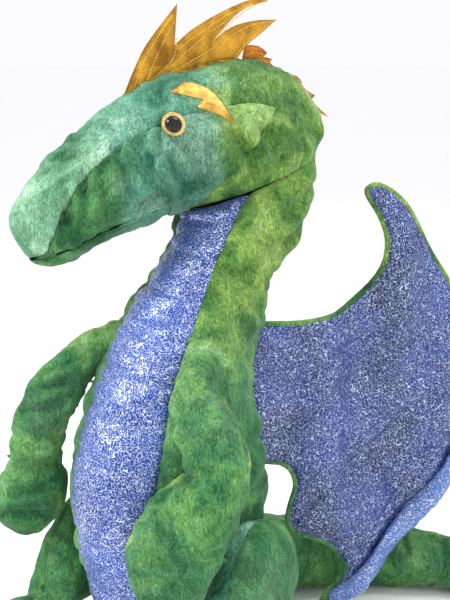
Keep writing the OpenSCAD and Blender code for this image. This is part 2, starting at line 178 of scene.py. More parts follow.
# ---- Meshes ----
def add_mesh(name, verts, faces, material, rest=None):
    mesh = bpy.data.meshes.new(name)
    verts = np.asarray(verts, float) * MM
    mesh.from_pydata(verts.tolist(), [], [list(map(int, f)) for f in faces])
    mesh.update()
    mesh.polygons.foreach_set("use_smooth", [True] * len(mesh.polygons))
    where = mesh.attributes.new("rest", "FLOAT_VECTOR", "POINT")
    where.data.foreach_set("vector", np.asarray(verts if rest is None else np.asarray(rest) * MM,
                                                np.float32).ravel())
    mesh.materials.append(material)
    obj = bpy.data.objects.new(name, mesh)
    bpy.context.scene.collection.objects.link(obj)
    return obj


def grid_faces(rows, cols, closed=False, flip=False):
    out = []
    for i in range(rows - 1):
        for j in range(cols if closed else cols - 1):
            k = (j + 1) % cols
            f = [i * cols + j, i * cols + k, (i + 1) * cols + k, (i + 1) * cols + j]
            out.append(f[::-1] if flip else f)
    return out


def refine(grid, closed, times=2):
    """Twice the rows and columns, on smooth curves through the old ones."""
    g = smooth(grid, times)
    g = np.swapaxes(g, 0, 1)
    if closed:
        g = smooth(np.concatenate([g[-2:], g, g[:3]]), times)[2 * times:-3 * times]
        g = g[:len(g) - (len(g) - grid.shape[1] * times)]
    else:
        g = smooth(g, times)
    return np.swapaxes(g, 0, 1)


def patch(name, grid, n, rows, cols, material, tuck=3.0, ends=(True, True), sides=(True, True)):
    """One fabric panel: part of a skin, with its edges turned in at the seams."""
    r0, r1 = rows
    wide = grid.shape[1]
    pick = np.arange(cols[0], cols[1] + 1) % wide
    g, m = grid[r0:r1 + 1][:, pick], n[r0:r1 + 1][:, pick]

    def inner(edge, normal, beside):
        out = unit(edge - beside)
        return edge - normal * deep[:len(edge), None] + out * 0.4

    size = np.linalg.norm(g - g.mean(1, keepdims=True), axis=2).max(1)

    if ends[0]:
        deep = np.full(g.shape[1], tuck * min(1, size[0] / 18))
        g = np.concatenate([inner(g[0], m[0], g[1])[None], g])
        m = np.concatenate([m[:1], m])
        size = np.concatenate([size[:1], size])
    if ends[1]:
        deep = np.full(g.shape[1], tuck * min(1, size[-1] / 18))
        g = np.concatenate([g, inner(g[-1], m[-1], g[-2])[None]])
        m = np.concatenate([m, m[-1:]])
        size = np.concatenate([size, size[-1:]])
    deep = tuck * np.minimum(1, size / 18)
    if sides[0]:
        g = np.concatenate([inner(g[:, 0], m[:, 0], g[:, 1])[:, None], g], 1)
        m = np.concatenate([m[:, :1], m], 1)
    if sides[1]:
        g = np.concatenate([g, inner(g[:, -1], m[:, -1], g[:, -2])[:, None]], 1)
        m = np.concatenate([m, m[:, -1:]], 1)
    k = g.shape[0] // 2, g.shape[1] // 2
    face = np.cross(g[k[0], k[1] + 1] - g[k[0], k[1]], g[k[0] + 1, k[1]] - g[k[0], k[1]])
    flip = float(face @ m[k]) < 0
    obj = add_mesh(name, g.reshape(-1, 3), grid_faces(*g.shape[:2], flip=flip), material)
    return obj


def puff(grid, tight, fixed, pressure=2.5, cap=4.0, frames=12, seed=0):
    """Runs a closed skin as cloth: it is blown up a little while its seams draw in, which gathers it."""
    rows, cols = grid.shape[:2]
    faces = grid_faces(rows, cols, closed=True)
    faces += [list(range(cols))[::-1], [(rows - 1) * cols + j for j in range(cols)]]
    n = normals(grid, True)
    start = grid - n * 0.8 + n * (0.2 * ripple(grid, 30, seed, 1))[..., None]
    mesh = bpy.data.meshes.new("cloth_work")
    mesh.from_pydata((start.reshape(-1, 3) * MM * 10).tolist(), [], faces)
    obj = bpy.data.objects.new("cloth_work", mesh)
    bpy.context.scene.collection.objects.link(obj)
    hold = obj.vertex_groups.new(name="hold")
    seam = obj.vertex_groups.new(name="seam")
    index = np.arange(rows * cols).reshape(rows, cols)
    hold.add([int(i) for i in index[fixed].ravel()], 1.0, "REPLACE")
    seam.add([int(i) for c in tight for i in index[:, c % cols]], 1.0, "REPLACE")
    cloth = obj.modifiers.new("Cloth", "CLOTH")
    s = cloth.settings
    s.quality, s.mass, s.air_damping = 4, 0.3, 5
    s.tension_stiffness = s.compression_stiffness = 20
    s.shear_stiffness, s.bending_stiffness = 8, 0.3
    s.use_pressure, s.uniform_pressure_force = True, pressure
    s.vertex_group_mass = "hold"
    s.vertex_group_shrink = "seam"
    s.shrink_min, s.shrink_max = -0.03, 0.05
    s.effector_weights.gravity = 0
    cloth.collision_settings.use_collision = False
    scene = bpy.context.scene
    for f in range(1, frames + 1):
        scene.frame_set(f)
    done = obj.evaluated_get(bpy.context.evaluated_depsgraph_get()).to_mesh()
    co = np.zeros(rows * cols * 3)
    done.vertices.foreach_get("co", co)
    scene.frame_set(1)
    bpy.data.objects.remove(obj)
    moved = co.reshape(rows, cols, 3) / (MM * 10) - grid
    size = np.linalg.norm(moved, axis=2, keepdims=True)
    moved *= np.minimum(1, cap / np.maximum(size, 1e-6))
    return grid + moved


# ---- Materials ----
class Nodes:
    """A small helper around one material's node tree."""

    def __init__(self, name, solid=False):
        self.material = bpy.data.materials.new(name)
        self.material.use_nodes = True
        self.tree = self.material.node_tree
        self.shader = self.tree.nodes["Principled BSDF"]
        if solid:
            self.place = self.add("ShaderNodeTexCoord").outputs["Object"]
        else:
            self.place = self.add("ShaderNodeAttribute", attribute_name="rest").outputs["Vector"]

    def add(self, kind, **settings):
        node = self.tree.nodes.new(kind)
        for k, v in settings.items():
            setattr(node, k, v)
        return node

    def link(self, a, b):
        self.tree.links.new(a, b)

    def value(self, node, name, v):
        if isinstance(v, bpy.types.NodeSocket):
            self.link(v, node.inputs[name])
        else:
            node.inputs[name].default_value = v

    def noise(self, scale, detail=2.0, rough=0.5, warp=0.0, at=None):
        n = self.add("ShaderNodeTexNoise")
        self.link(at or self.place, n.inputs["Vector"])
        for k, v in (("Scale", scale), ("Detail", detail), ("Roughness", rough), ("Distortion", warp)):
            n.inputs[k].default_value = v
        return n.outputs["Fac"]

    def ramp(self, fac, stops, kind="LINEAR"):
        r = self.add("ShaderNodeValToRGB")
        r.color_ramp.interpolation = kind
        while len(r.color_ramp.elements) < len(stops):
            r.color_ramp.elements.new(0.5)
        for e, (at, colour) in zip(r.color_ramp.elements, stops):
            e.position = at
            e.color = colour if len(colour) == 4 else (*colour, 1)
        self.link(fac, r.inputs["Fac"])
        return r.outputs["Color"]

    def mix(self, fac, a, b, blend="MIX"):
        m = self.add("ShaderNodeMix", data_type="RGBA", blend_type=blend)
        for i, v in ((0, fac), (6, a), (7, b)):
            if isinstance(v, bpy.types.NodeSocket):
                self.link(v, m.inputs[i])
            else:
                m.inputs[i].default_value = v if i == 0 else (*v, 1) if len(v) == 3 else v
        return m.outputs[2]

    def math(self, op, a, b=0.0):
        m = self.add("ShaderNodeMath", operation=op)
        for i, v in enumerate((a, b)):
            if isinstance(v, bpy.types.NodeSocket):
                self.link(v, m.inputs[i])
            else:
                m.inputs[i].default_value = v
        return m.outputs[0]

    def bump(self, height, strength, distance, below=None):
        b = self.add("ShaderNodeBump")
        b.inputs["Strength"].default_value = strength
        b.inputs["Distance"].default_value = distance
        self.link(height, b.inputs["Height"])
        if below:
            self.link(below, b.inputs["Normal"])
        return b.outputs["Normal"]

    def finish(self, colour, rough, normal=None, metal=0.0, **sockets):
        s = self.shader
        self.value(s, "Base Color", colour)
        self.value(s, "Roughness", rough)
        self.value(s, "Metallic", metal)
        if normal:
            self.link(normal, s.inputs["Normal"])
        for k, v in sockets.items():
            self.value(s, k.replace("_", " "), v)
        return self.material


def srgb(r, g, b):
    channels = (r / 255, g / 255, b / 255)
    return tuple(c / 12.92 if c <= 0.04045 else ((c + 0.055) / 1.055) ** 2.4 for c in channels)


def plush(name, deep, mid, light, pale, pale_share=0.5, patch_size=26, seed=0.0, zones=()):
    """Short pile, dyed in cloudy patches and brushed different ways from place to place; the brushed streaks
    are painted darker and lighter as shade and sheen.

    Each zone is (direction, start, end, four tones): its tones take over along the direction, in metres."""
    m = Nodes(name)
    shift = m.add("ShaderNodeMapping")
    shift.inputs["Location"].default_value = (seed, seed * 0.7, -seed)
    m.link(m.place, shift.inputs["Vector"])
    cloud = m.noise(patch_size, 3, 0.55, 0.6, shift.outputs["Vector"])
    base = m.ramp(cloud, [(0.30, deep), (0.46, mid), (0.60, light), (0.76, pale)])
    wash = m.noise(patch_size * 0.45, 2, 0.5, 1.0, shift.outputs["Vector"])
    base = m.mix(m.ramp(wash, [(0.42, (0, 0, 0)), (0.66, (pale_share,) * 3)]), base, pale)
    for direction, start, end, tones in zones:
        along = m.add("ShaderNodeVectorMath", operation="DOT_PRODUCT")
        m.link(m.place, along.inputs[0])
        along.inputs[1].default_value = direction
        ragged = m.math("MULTIPLY", m.math("SUBTRACT", wash, 0.5), 0.09)
        reach = m.add("ShaderNodeMapRange", interpolation_type="SMOOTHSTEP")
        m.link(m.math("ADD", along.outputs["Value"], ragged), reach.inputs["Value"])
        reach.inputs["From Min"].default_value, reach.inputs["From Max"].default_value = start, end
        other = m.ramp(cloud, list(zip((0.30, 0.46, 0.60, 0.76), tones)))
        base = m.mix(reach.outputs["Result"], base, other)
    stretch = m.add("ShaderNodeMapping")
    stretch.inputs["Scale"].default_value = (1, 1, 0.45)
    m.link(m.place, stretch.inputs["Vector"])
    nap = m.noise(210, 3, 0.6, 1.2, stretch.outputs["Vector"])
    # Painted shade and sheen: the nap's streaks darken and lighten the colour, standing in for light on pile
    # brushed different ways.
    base = m.mix(1.0, base, m.ramp(nap, [(0.32, (0.62,) * 3), (0.52, (0.95,) * 3), (0.70, (1.25,) * 3)]),
                 "MULTIPLY")
    fibre = m.noise(820, 3, 0.8, 0.3, stretch.outputs["Vector"])
    base = m.mix(1.0, base, m.ramp(fibre, [(0.36, (0.55,) * 3), (0.64, (1.45,) * 3)]), "MULTIPLY")
    n = m.bump(nap, 0.5, 0.0018)
    n = m.bump(fibre, 0.8, 0.0009, n)
    return m.finish(base, 0.95, n, Sheen_Weight=0.3, Sheen_Roughness=0.35, Sheen_Tint=(0.6, 0.85, 0.6, 1),
                    Specular_IOR_Level=0.1)


def sparkle(name, base, dark, silver, share):
    """Knit lining with a fine metallic maze print."""
    m = Nodes(name)
    maze = m.noise(540, 0.0, 0.5, 0.2)
    line = m.math("ABSOLUTE", m.math("SUBTRACT", maze, 0.5))
    print_ = m.ramp(line, [(0.020 * share, (1, 1, 1)), (0.036 * share, (0, 0, 0))])
    worn = m.ramp(m.noise(38, 3, 0.6), [(0.30, (0.6,) * 3), (0.58, (1, 1, 1))])
    print_ = m.mix(1.0, print_, worn, "MULTIPLY")
    tone = m.ramp(m.noise(22, 3, 0.5), [(0.35, dark), (0.65, base)])
    tone = m.mix(1.0, tone, m.ramp(m.noise(420, 1, 0.5), [(0.35, (0.75,) * 3), (0.65, (1.2,) * 3)]),
                 "MULTIPLY")
    colour = m.mix(print_, tone, silver)
    bw = m.add("ShaderNodeRGBToBW")
    m.link(print_, bw.inputs["Color"])
    n = m.bump(bw.outputs["Val"], 0.25, 0.0004)
    n = m.bump(m.noise(900, 1, 0.5), 0.2, 0.0005, n)
    return m.finish(colour, 0.42, n, m.math("MULTIPLY", bw.outputs["Val"], 0.65), Sheen_Weight=0.04,
                    Sheen_Roughness=0.4)


def lame(name, low, high):
    """Metallic gold fabric with a fine crumple and weave."""
    m = Nodes(name)
    tone = m.ramp(m.noise(60, 4, 0.6, 0.5), [(0.30, low), (0.72, high)])
    glint = m.noise(1300, 2, 0.8)
    tone = m.mix(1.0, tone, m.ramp(glint, [(0.34, (0.72,) * 3), (0.70, (1.35,) * 3)]), "MULTIPLY")
    n = m.bump(glint, 0.5, 0.0006)
    n = m.bump(m.noise(140, 3, 0.6, 0.4), 0.4, 0.0014, n)
    return m.finish(tone, 0.38, n, 0.72, Sheen_Weight=0.2)


def thread(name, colour):
    m = Nodes(name)
    tone = m.mix(m.noise(900, 1, 0.5), tuple(c * 0.7 for c in colour), colour)
    return m.finish(tone, 0.6, m.bump(m.noise(2500, 1, 0.5), 0.4, 0.0003))


FORWARD = (-0.423, -0.906, 0.0)
BACK = (0.423, 0.906, 0.0)
UP = (0.0, 0.0, 1.0)
MOSS = (srgb(38, 88, 44), srgb(84, 130, 62), srgb(136, 170, 84), srgb(152, 190, 118))
LEAF = (srgb(32, 82, 50), srgb(62, 120, 76), srgb(98, 150, 82), srgb(128, 176, 130))
MINT = (srgb(62, 116, 82), srgb(112, 164, 128), srgb(144, 192, 156), srgb(190, 222, 196))
SEA = (srgb(34, 86, 66), srgb(70, 130, 104), srgb(112, 166, 142), srgb(176, 214, 186))
SHADE = (srgb(30, 76, 46), srgb(54, 108, 66), srgb(84, 138, 84), srgb(112, 164, 116))
GREEN = plush("green_pile", *LEAF, 0.3, zones=[(UP, 0.19, 0.27, MOSS)])
TEAL = plush("teal_pile", *SEA, 0.4, 24, 0.31, zones=[(BACK, 0.03, 0.055, MOSS)])
CROWN = plush("crown_pile_dye", *MOSS, 0.25, 24, 0.5,
              zones=[(FORWARD, -0.055, -0.02, SEA), (FORWARD, 0.01, 0.07, MINT)])
DARK = plush("shaded_pile", *SHADE, 0.25, 28, 0.77, zones=[(BACK, -0.055, -0.01, SEA)])
LIME = plush("lime_pile", *MOSS, 0.25, 26, 0.5)
BELLY = sparkle("belly_lining", srgb(30, 74, 172), srgb(18, 52, 134), srgb(208, 220, 238), 1.75)
# The wing lining is the belly's blue lining painted darker: painted shade where the wing faces away from the
# light.
SHADED_WING_LINING = sparkle("wing_lining", srgb(24, 56, 138), srgb(10, 30, 88), srgb(190, 206, 232), 1.4)
# The band is the same sparkle lining painted lighter: a painted highlight where the fold catches the light.
LIT_WING_BAND = sparkle("wing_band", srgb(84, 122, 198), srgb(62, 98, 174), srgb(214, 224, 244), 1.5)
GOLD = lame("gold_fabric", srgb(138, 92, 14), srgb(236, 176, 52))
ORANGE = lame("orange_fabric", srgb(150, 74, 12), srgb(226, 142, 40))
PALE_GOLD = lame("pale_gold_fabric", srgb(176, 118, 34), srgb(252, 204, 104))
YELLOW_THREAD = thread("yellow_thread", srgb(255, 224, 96))
BLUE_THREAD = thread("blue_thread", srgb(150, 168, 226))


def eye_materials():
    glass = Nodes("black_eye", True)
    depth = glass.mix(glass.noise(300, 1, 0.5), (0.004, 0.004, 0.006), (0.012, 0.012, 0.018))
    glass.finish(depth, 0.05, None, Specular_IOR_Level=0.35)
    glitter = Nodes("gold_glitter", True)
    flakes = glitter.add("ShaderNodeTexVoronoi")
    flakes.inputs["Scale"].default_value = 2600
    glitter.link(glitter.place, flakes.inputs["Vector"])
    tone = glitter.ramp(flakes.outputs["Color"], [(0.2, srgb(150, 100, 30)), (0.5, srgb(232, 180, 76)),
                                                  (0.8, srgb(255, 240, 180))])
    n = glitter.bump(flakes.outputs["Distance"], 0.6, 0.0004)
    glitter.finish(tone, 0.25, n, 0.9, Coat_Weight=0.6)
    return glass.material, glitter.material


BLACK, GLITTER = eye_materials()
FILLING = Nodes("filling", True)
FILLING = FILLING.finish(FILLING.mix(FILLING.noise(120, 4, 0.7), (0.75, 0.75, 0.72), (0.95, 0.95, 0.93)),
                         0.95)


# ---- Threads ----
def stitches(name, line, body, material, length=2.4, gap=0.9, radius=0.36, blend=None):
    """A row of short stitches along a line of points, as one mesh."""
    line = np.asarray(line, float)
    step = np.linalg.norm(np.diff(line, axis=0), axis=1)
    s = np.concatenate([[0], np.cumsum(step)])
    verts, faces = [], []
    profile = [(0.0, 0.25), (0.18, 0.9), (0.5, 1.1), (0.82, 0.9), (1.0, 0.25)]
    for a in np.arange(0.5, s[-1] - length, length + gap):
        at = [a + length * u for u, _ in profile]
        mid = np.stack([np.interp(at, s, line[:, k]) for k in range(3)], 1)
        d = unit(mid[-1] - mid[0])
        u = unit(np.cross(d, [0.3, 0.2, 0.93]))
        v = np.cross(d, u)
        base = len(verts)
        for p, (_, r) in zip(mid, profile):
            for k in range(6):
                w = k * math.pi / 3
                verts.append(p + (u * math.cos(w) + v * math.sin(w)) * radius * r)
        faces += [[base + f for f in q] for q in grid_faces(5, 6, closed=True)]
        faces += [[base + k for k in range(6)][::-1], [base + 24 + k for k in range(6)]]
    obj = add_mesh(name, verts, faces, material)
    if blend:
        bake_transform(obj)
    else:
        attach(obj, body)
    return obj


def declare(obj, nodes, blend=None, body=None):
    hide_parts(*nodes)
    if blend:
        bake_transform(obj)
    else:
        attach(obj, body)
    return obj


# ---- Shapes shared with the solids ----
TORSO = [
    [0, 0, 3.2, 56, 44], [0, 0, 12, 66, 48], [0, 0, 34, 75, 51], [0, -3, 68, 80, 53],
    [0, -6, 103, 83, 60], [0, -5, 138, 76, 64], [0, 0, 173, 65, 60], [0, 12, 205, 54, 53],
    [0, 28, 231, 48, 48], [0, 45, 255, 45, 44], [0, 60, 277, 44, 42],
]
HEAD = [
    [14, 332, 19.6, 60.5, 41], [13.5, 344.5, 29, 66.9, 44], [18.8, 355, 38, 68.2, 46.5],
    [29, 362.7, 48.2, 67.4, 48.5], [51, 364, 60, 66, 49.5], [78.5, 358, 69.5, 61.5, 48],
    [105.5, 350.5, 75.5, 58, 45], [130.5, 339, 79.5, 53, 42], [154.5, 324, 83.5, 48, 39],
    [177, 311.5, 88.5, 38.5, 34], [191.5, 305, 93, 26, 26], [200.5, 305, 95, 14, 15],
    [204.5, 306, 95, 4, 5],
]
LEFT_ARM = [
    [57.5, -37, 206, 15, 15], [61, -46.5, 194, 16.5, 16], [66.5, -49.5, 184, 20, 17],
    [77.5, -50, 167, 24.5, 17.5], [84, -49.5, 150, 23.5, 18], [86, -50.5, 136, 22.5, 18],
    [80, -59.5, 117, 30, 18], [72, -68.5, 102, 36, 18], [68, -74.5, 86, 37, 17.5], [68, -75.5, 68, 33, 17],
    [69, -73.5, 56, 26, 15],
]
RIGHT_ARM = [
    [-46, -18, 219, 13.5, 13], [-59, -33, 206, 15, 14.5], [-72.5, -44, 186, 20.5, 19],
    [-84.5, -54, 164, 20.5, 22],
    [-88, -56, 144, 19.5, 24], [-90, -57, 125, 19.5, 23], [-91, -58, 104, 28, 24], [-99, -65, 86, 24, 19],
]
LEFT_LEG = [
    [76, 4, 52, 46, 22], [82, -22, 43, 39, 22], [92, -46, 22, 20, 20], [100, -68, 17, 16, 21],
    [108, -92, 17, 16, 23],
]
RIGHT_LEG = [
    [-76, -8, 52, 46, 22], [-76, -36, 38, 34, 21], [-73, -60, 17, 15.5, 19], [-70, -82, 15, 14, 20],
    [-68, -100, 15, 14, 22],
]
TAIL = [
    [0, 108, 34, 32, 32], [6, 130, 32.5, 31, 31], [20, 156, 30, 29, 28.5], [44, 182, 27, 27, 25.5],
    [76, 202, 25, 25, 24], [112, 216, 22, 22, 21], [146, 222, 18, 18, 17], [176, 219, 13, 13, 12],
    [198, 211, 9.5, 8, 9],
]
ARM_SIDE = unit(np.array([0.643, -0.766, 0]))


# ---- Torso and neck ----
def head_sections():
    p = smooth(HEAD, 2)
    t = np.radians(p[:, 2])
    zero = np.zeros(len(p))
    front = np.stack([zero, -np.cos(t), -np.sin(t)], 1)
    side = np.tile([1.0, 0, 0], (len(p), 1))
    return np.hstack([np.stack([zero, -p[:, 0], p[:, 1]], 1), front, side, p[:, 3:5]])


def turn(v):
    return to_head(v) - [0, NECK_Y, 0]


def torso_sections():
    sec = sections(TORSO, [1, 0, 0])
    sec[0, 3:6], sec[0, 6:9] = [0, -1, 0], [1, 0, 0]
    s = head_sections()[0]
    front, side = turn(s[3:6]) * s[9], turn(s[6:9]) * s[10]
    shift = math.atan2(-front[0], side[0])
    f = front * math.cos(shift) + side * math.sin(shift)
    w = side * math.cos(shift) - front * math.sin(shift)
    top = np.hstack([to_head(s[:3]) - [0, 0, 0.4], unit(f), unit(w), np.linalg.norm(f), np.linalg.norm(w)])
    throat = sec[-1]
    fan = []
    for t in (0.2, 0.4, 0.6, 0.8, 1.0):
        row = throat + (top - throat) * t
        row[3:6], row[6:9] = unit(row[3:6]), unit(row[6:9])
        row[1] += 3 * math.sin(math.pi * t)
        fan.append(row)
    return np.vstack([sec, fan])


NECK_PLANE = turn(unit(np.array([0, -0.335, 0.942])))
NECK_TOP = to_head(np.array([0, -14, 332.0]))
NECK_BLEND = ("torso", "head", tuple((NECK_TOP - NECK_PLANE * 62) * MM), tuple(NECK_TOP * MM))


def build_torso():
    angles = columns((-40, 0), (40, 18), (180, 32), (320, 32))[:-1]
    coarse = rings(torso_sections(), angles)
    grid, _ = loft(coarse, 4.2)
    rows = len(grid)
    grid = puff(grid, [0, 18, 50], np.r_[0:3, rows - 3:rows], 2.2, 3.5, 12, 3)
    grid = refine(grid, True)
    n = normals(grid, True)
    wrinkle = np.abs(ripple(grid * [1, 1, 1.5], 46, 11))
    soft = ripple(grid, 90, 12, 1)
    ends = np.clip(np.arange(len(grid)) / 8, 0, 1) * np.clip((len(grid) - 1 - np.arange(len(grid))) / 6, 0, 1)
    on_belly = np.zeros(grid.shape[1])
    on_belly[:37] = 1
    depth = np.where(on_belly > 0, 0.5, 1.3)
    grid = grid + n * ((wrinkle * depth - 0.9 * depth + soft * 0.8) * ends[:, None])[..., None]
    folds = [
        ([(55, 10, 120), (64, -8, 106), (66, -22, 88)], 5, 2.6),
        ([(58, 30, 95), (66, 8, 78), (66, -10, 62)], 5, 2.4),
        ([(50, 45, 150), (62, 22, 140), (66, 0, 128)], 6, 2.2),
        ([(45, 62, 70), (58, 36, 52), (62, 10, 44)], 5, 2.2),
        ([(30, 105, 300), (42, 85, 290), (41, 62, 283)], 5, 2.2),
        ([(28, 90, 262), (42, 66, 256), (44, 44, 246)], 6, 2.0),
        ([(36, 125, 330), (45, 100, 318), (44, 78, 306)], 5, 2.4),
        ([(46, 50, 226), (52, 30, 216), (52, 8, 204)], 6, 1.8),
        ([(-30, 105, 300), (-42, 85, 288), (-41, 60, 280)], 5, 2.2),
        ([(-50, 40, 226), (-54, 20, 212), (-50, 2, 200)], 6, 2.0),
        ([(-45, 55, 150), (-62, 25, 138), (-66, 0, 120)], 6, 2.2),
        ([(-58, 30, 90), (-66, 8, 72), (-66, -10, 58)], 5, 2.4),
        ([(-20, 82, 130), (0, 84, 126), (22, 82, 134)], 6, 2.2),
        ([(-18, 112, 250), (0, 112, 244), (20, 110, 252)], 6, 1.8),
    ]
    for line, width, deep in folds:
        grid = crease(grid, n, line, width, 1.5 * deep)
    quilt = []
    for z, slant in ((306, 1), (284, -3), (257, -4), (228, -5), (200, -6), (169, -8), (139, -8), (108, -10),
                     (76, -10), (44, -8)):
        j = np.arange(0, 37)
        want = z + slant * (j - 18) / 18
        row = np.array([np.argmin(np.abs(grid[:, k, 2] - w)) for k, w in zip(j, want)])
        line = grid[row, j]
        frac = smooth(line[::4], 5)
        d = distance_to(grid[:, :37], frac)
        grid[:, :37] -= n[:, :37] * (2.3 * np.exp(-(d / 2.8) ** 2))[..., None]
        quilt.append((z, row))
    grid = seam_pinch(grid, n, [0, 36, 100], 1.5, 2.6, 0.35, 5)
    n = normals(grid, True)
    collar = unit(grid[-1] - grid[-3])
    grid = np.concatenate([grid, (grid[-1] + collar * 2.5 - n[-1] * 0.9)[None],
                           (grid[-1] + collar * 6 - n[-1] * 3.2)[None]])
    n = np.concatenate([n, n[-1:], n[-1:]])
    last = len(grid) - 1
    open_top = (True, False)
    belly = patch("belly_lining", grid, n, (0, last), (0, 36), BELLY, ends=open_top)
    left = patch("left_body_pile", grid, n, (0, last), (36, 100), GREEN, ends=open_top)
    right = patch("right_body_pile", grid, n, (0, last), (100, 164), GREEN, ends=open_top)
    declare(belly, ["belly_panel", "torso_stuffing"], NECK_BLEND)
    declare(left, ["left_body_panel"], NECK_BLEND)
    declare(right, ["right_body_panel"], NECK_BLEND)
    for k, (z, row) in enumerate(quilt):
        j = np.arange(2, 35)
        line = smooth((grid[row[2:35], j] + n[row[2:35], j] * 0.15)[::4], 6)
        if z > 270:
            stitches(f"belly_stitch_{k + 1}", line, None, BLUE_THREAD,
                     blend=NECK_BLEND)
        else:
            stitches(f"belly_stitch_{k + 1}", line, "torso", BLUE_THREAD)
    return grid, n


def build_seat():
    a = np.radians(np.arange(0, 360, 6))
    verts, faces = [], []
    for r, z in ((1.0, 3.0), (1.03, 1.2), (0.97, 0.2), (0.8, 0.05), (0.5, 0.05), (0.2, 0.05)):
        for t in a:
            verts.append((46 * r * math.cos(t), 58 * r * math.sin(t), z))
    faces = grid_faces(6, len(a), closed=True, flip=True)
    faces.append([5 * len(a) + k for k in range(len(a))][::-1])
    seat = add_mesh("seat_pile", verts, faces, GREEN)
    declare(seat, ["seat_panel"], body="torso")


# ---- Head ----
MOUTH_BACK, MOUTH_FRONT = (82, 324), (181, 281)
SLOPE = (MOUTH_BACK[1] - MOUTH_FRONT[1]) / (MOUTH_FRONT[0] - MOUTH_BACK[0])
HEAD_SEC = head_sections()
MOUTH_FIRST, MOUTH_LAST, NOSE_START = 10, 19, 16


def to_mouth(s):
    line = MOUTH_BACK[1] - SLOPE * (-s[1] - MOUTH_BACK[0])
    return (s[2] - line) / (-s[5] + SLOPE * s[4])


def mouth_angle(i):
    if i < MOUTH_FIRST - 2 or i > MOUTH_LAST:
        return 0.6
    if i < MOUTH_FIRST:
        return (14, 32)[i - MOUTH_FIRST + 2]
    return math.degrees(math.acos(min(to_mouth(HEAD_SEC[i]) / HEAD_SEC[i, 9], 0.995)))


def crown_from(i):
    if i < NOSE_START:
        return 122
    return (122, 112, 92, 48)[i - NOSE_START] if i < NOSE_START + 4 else mouth_angle(i) + 0.8


NS, NC = 30, 28
HEAD_FOLDS = [
    ([(122, 364, 38), (119, 352, 43), (116, 336, 42)], 3.6, 2.0),
    ([(93, 366, 46), (84, 358, 48), (77, 346, 47), (72, 334, 42)], 3.4, 2.6),
    ([(104, 368, 43), (98, 354, 46), (93, 340, 45)], 3.4, 2.2),
    ([(112, 352, 44), (108, 340, 44), (104, 328, 42)], 3.8, 2.2),
    ([(134, 360, 36), (131, 346, 41), (128, 330, 41)], 4.2, 2.6),
    ([(148, 348, 36), (147, 334, 39), (145, 316, 38)], 4.4, 2.6),
    ([(160, 340, 34), (160, 326, 37), (159, 306, 35)], 4.2, 2.2),
    ([(172, 330, 32), (173, 316, 34), (172, 300, 31)], 4.0, 1.8),
    ([(66, 368, 49), (58, 356, 49), (55, 342, 44)], 4.5, 2.0),
    ([(48, 372, 49), (38, 356, 48), (36, 340, 43)], 5.0, 2.4),
    ([(28, 380, 48), (16, 366, 46), (8, 350, 44)], 5.5, 2.4),
    ([(186, 318, 26), (187, 306, 28), (184, 294, 24)], 3.6, 1.4),
]


def head_frame(grid):
    """Row-frame points as forward, height and distance to the side."""
    c, s = math.cos(HEAD_TURN), math.sin(HEAD_TURN)
    x, y = grid[..., 0], grid[..., 1] - NECK_Y
    return np.stack([-(x * s + y * c), grid[..., 2], x * c - y * s], -1)


def from_head(p):
    p = np.asarray(p, float)
    return to_head(np.stack([p[..., 2], -p[..., 0], p[..., 1]], -1))


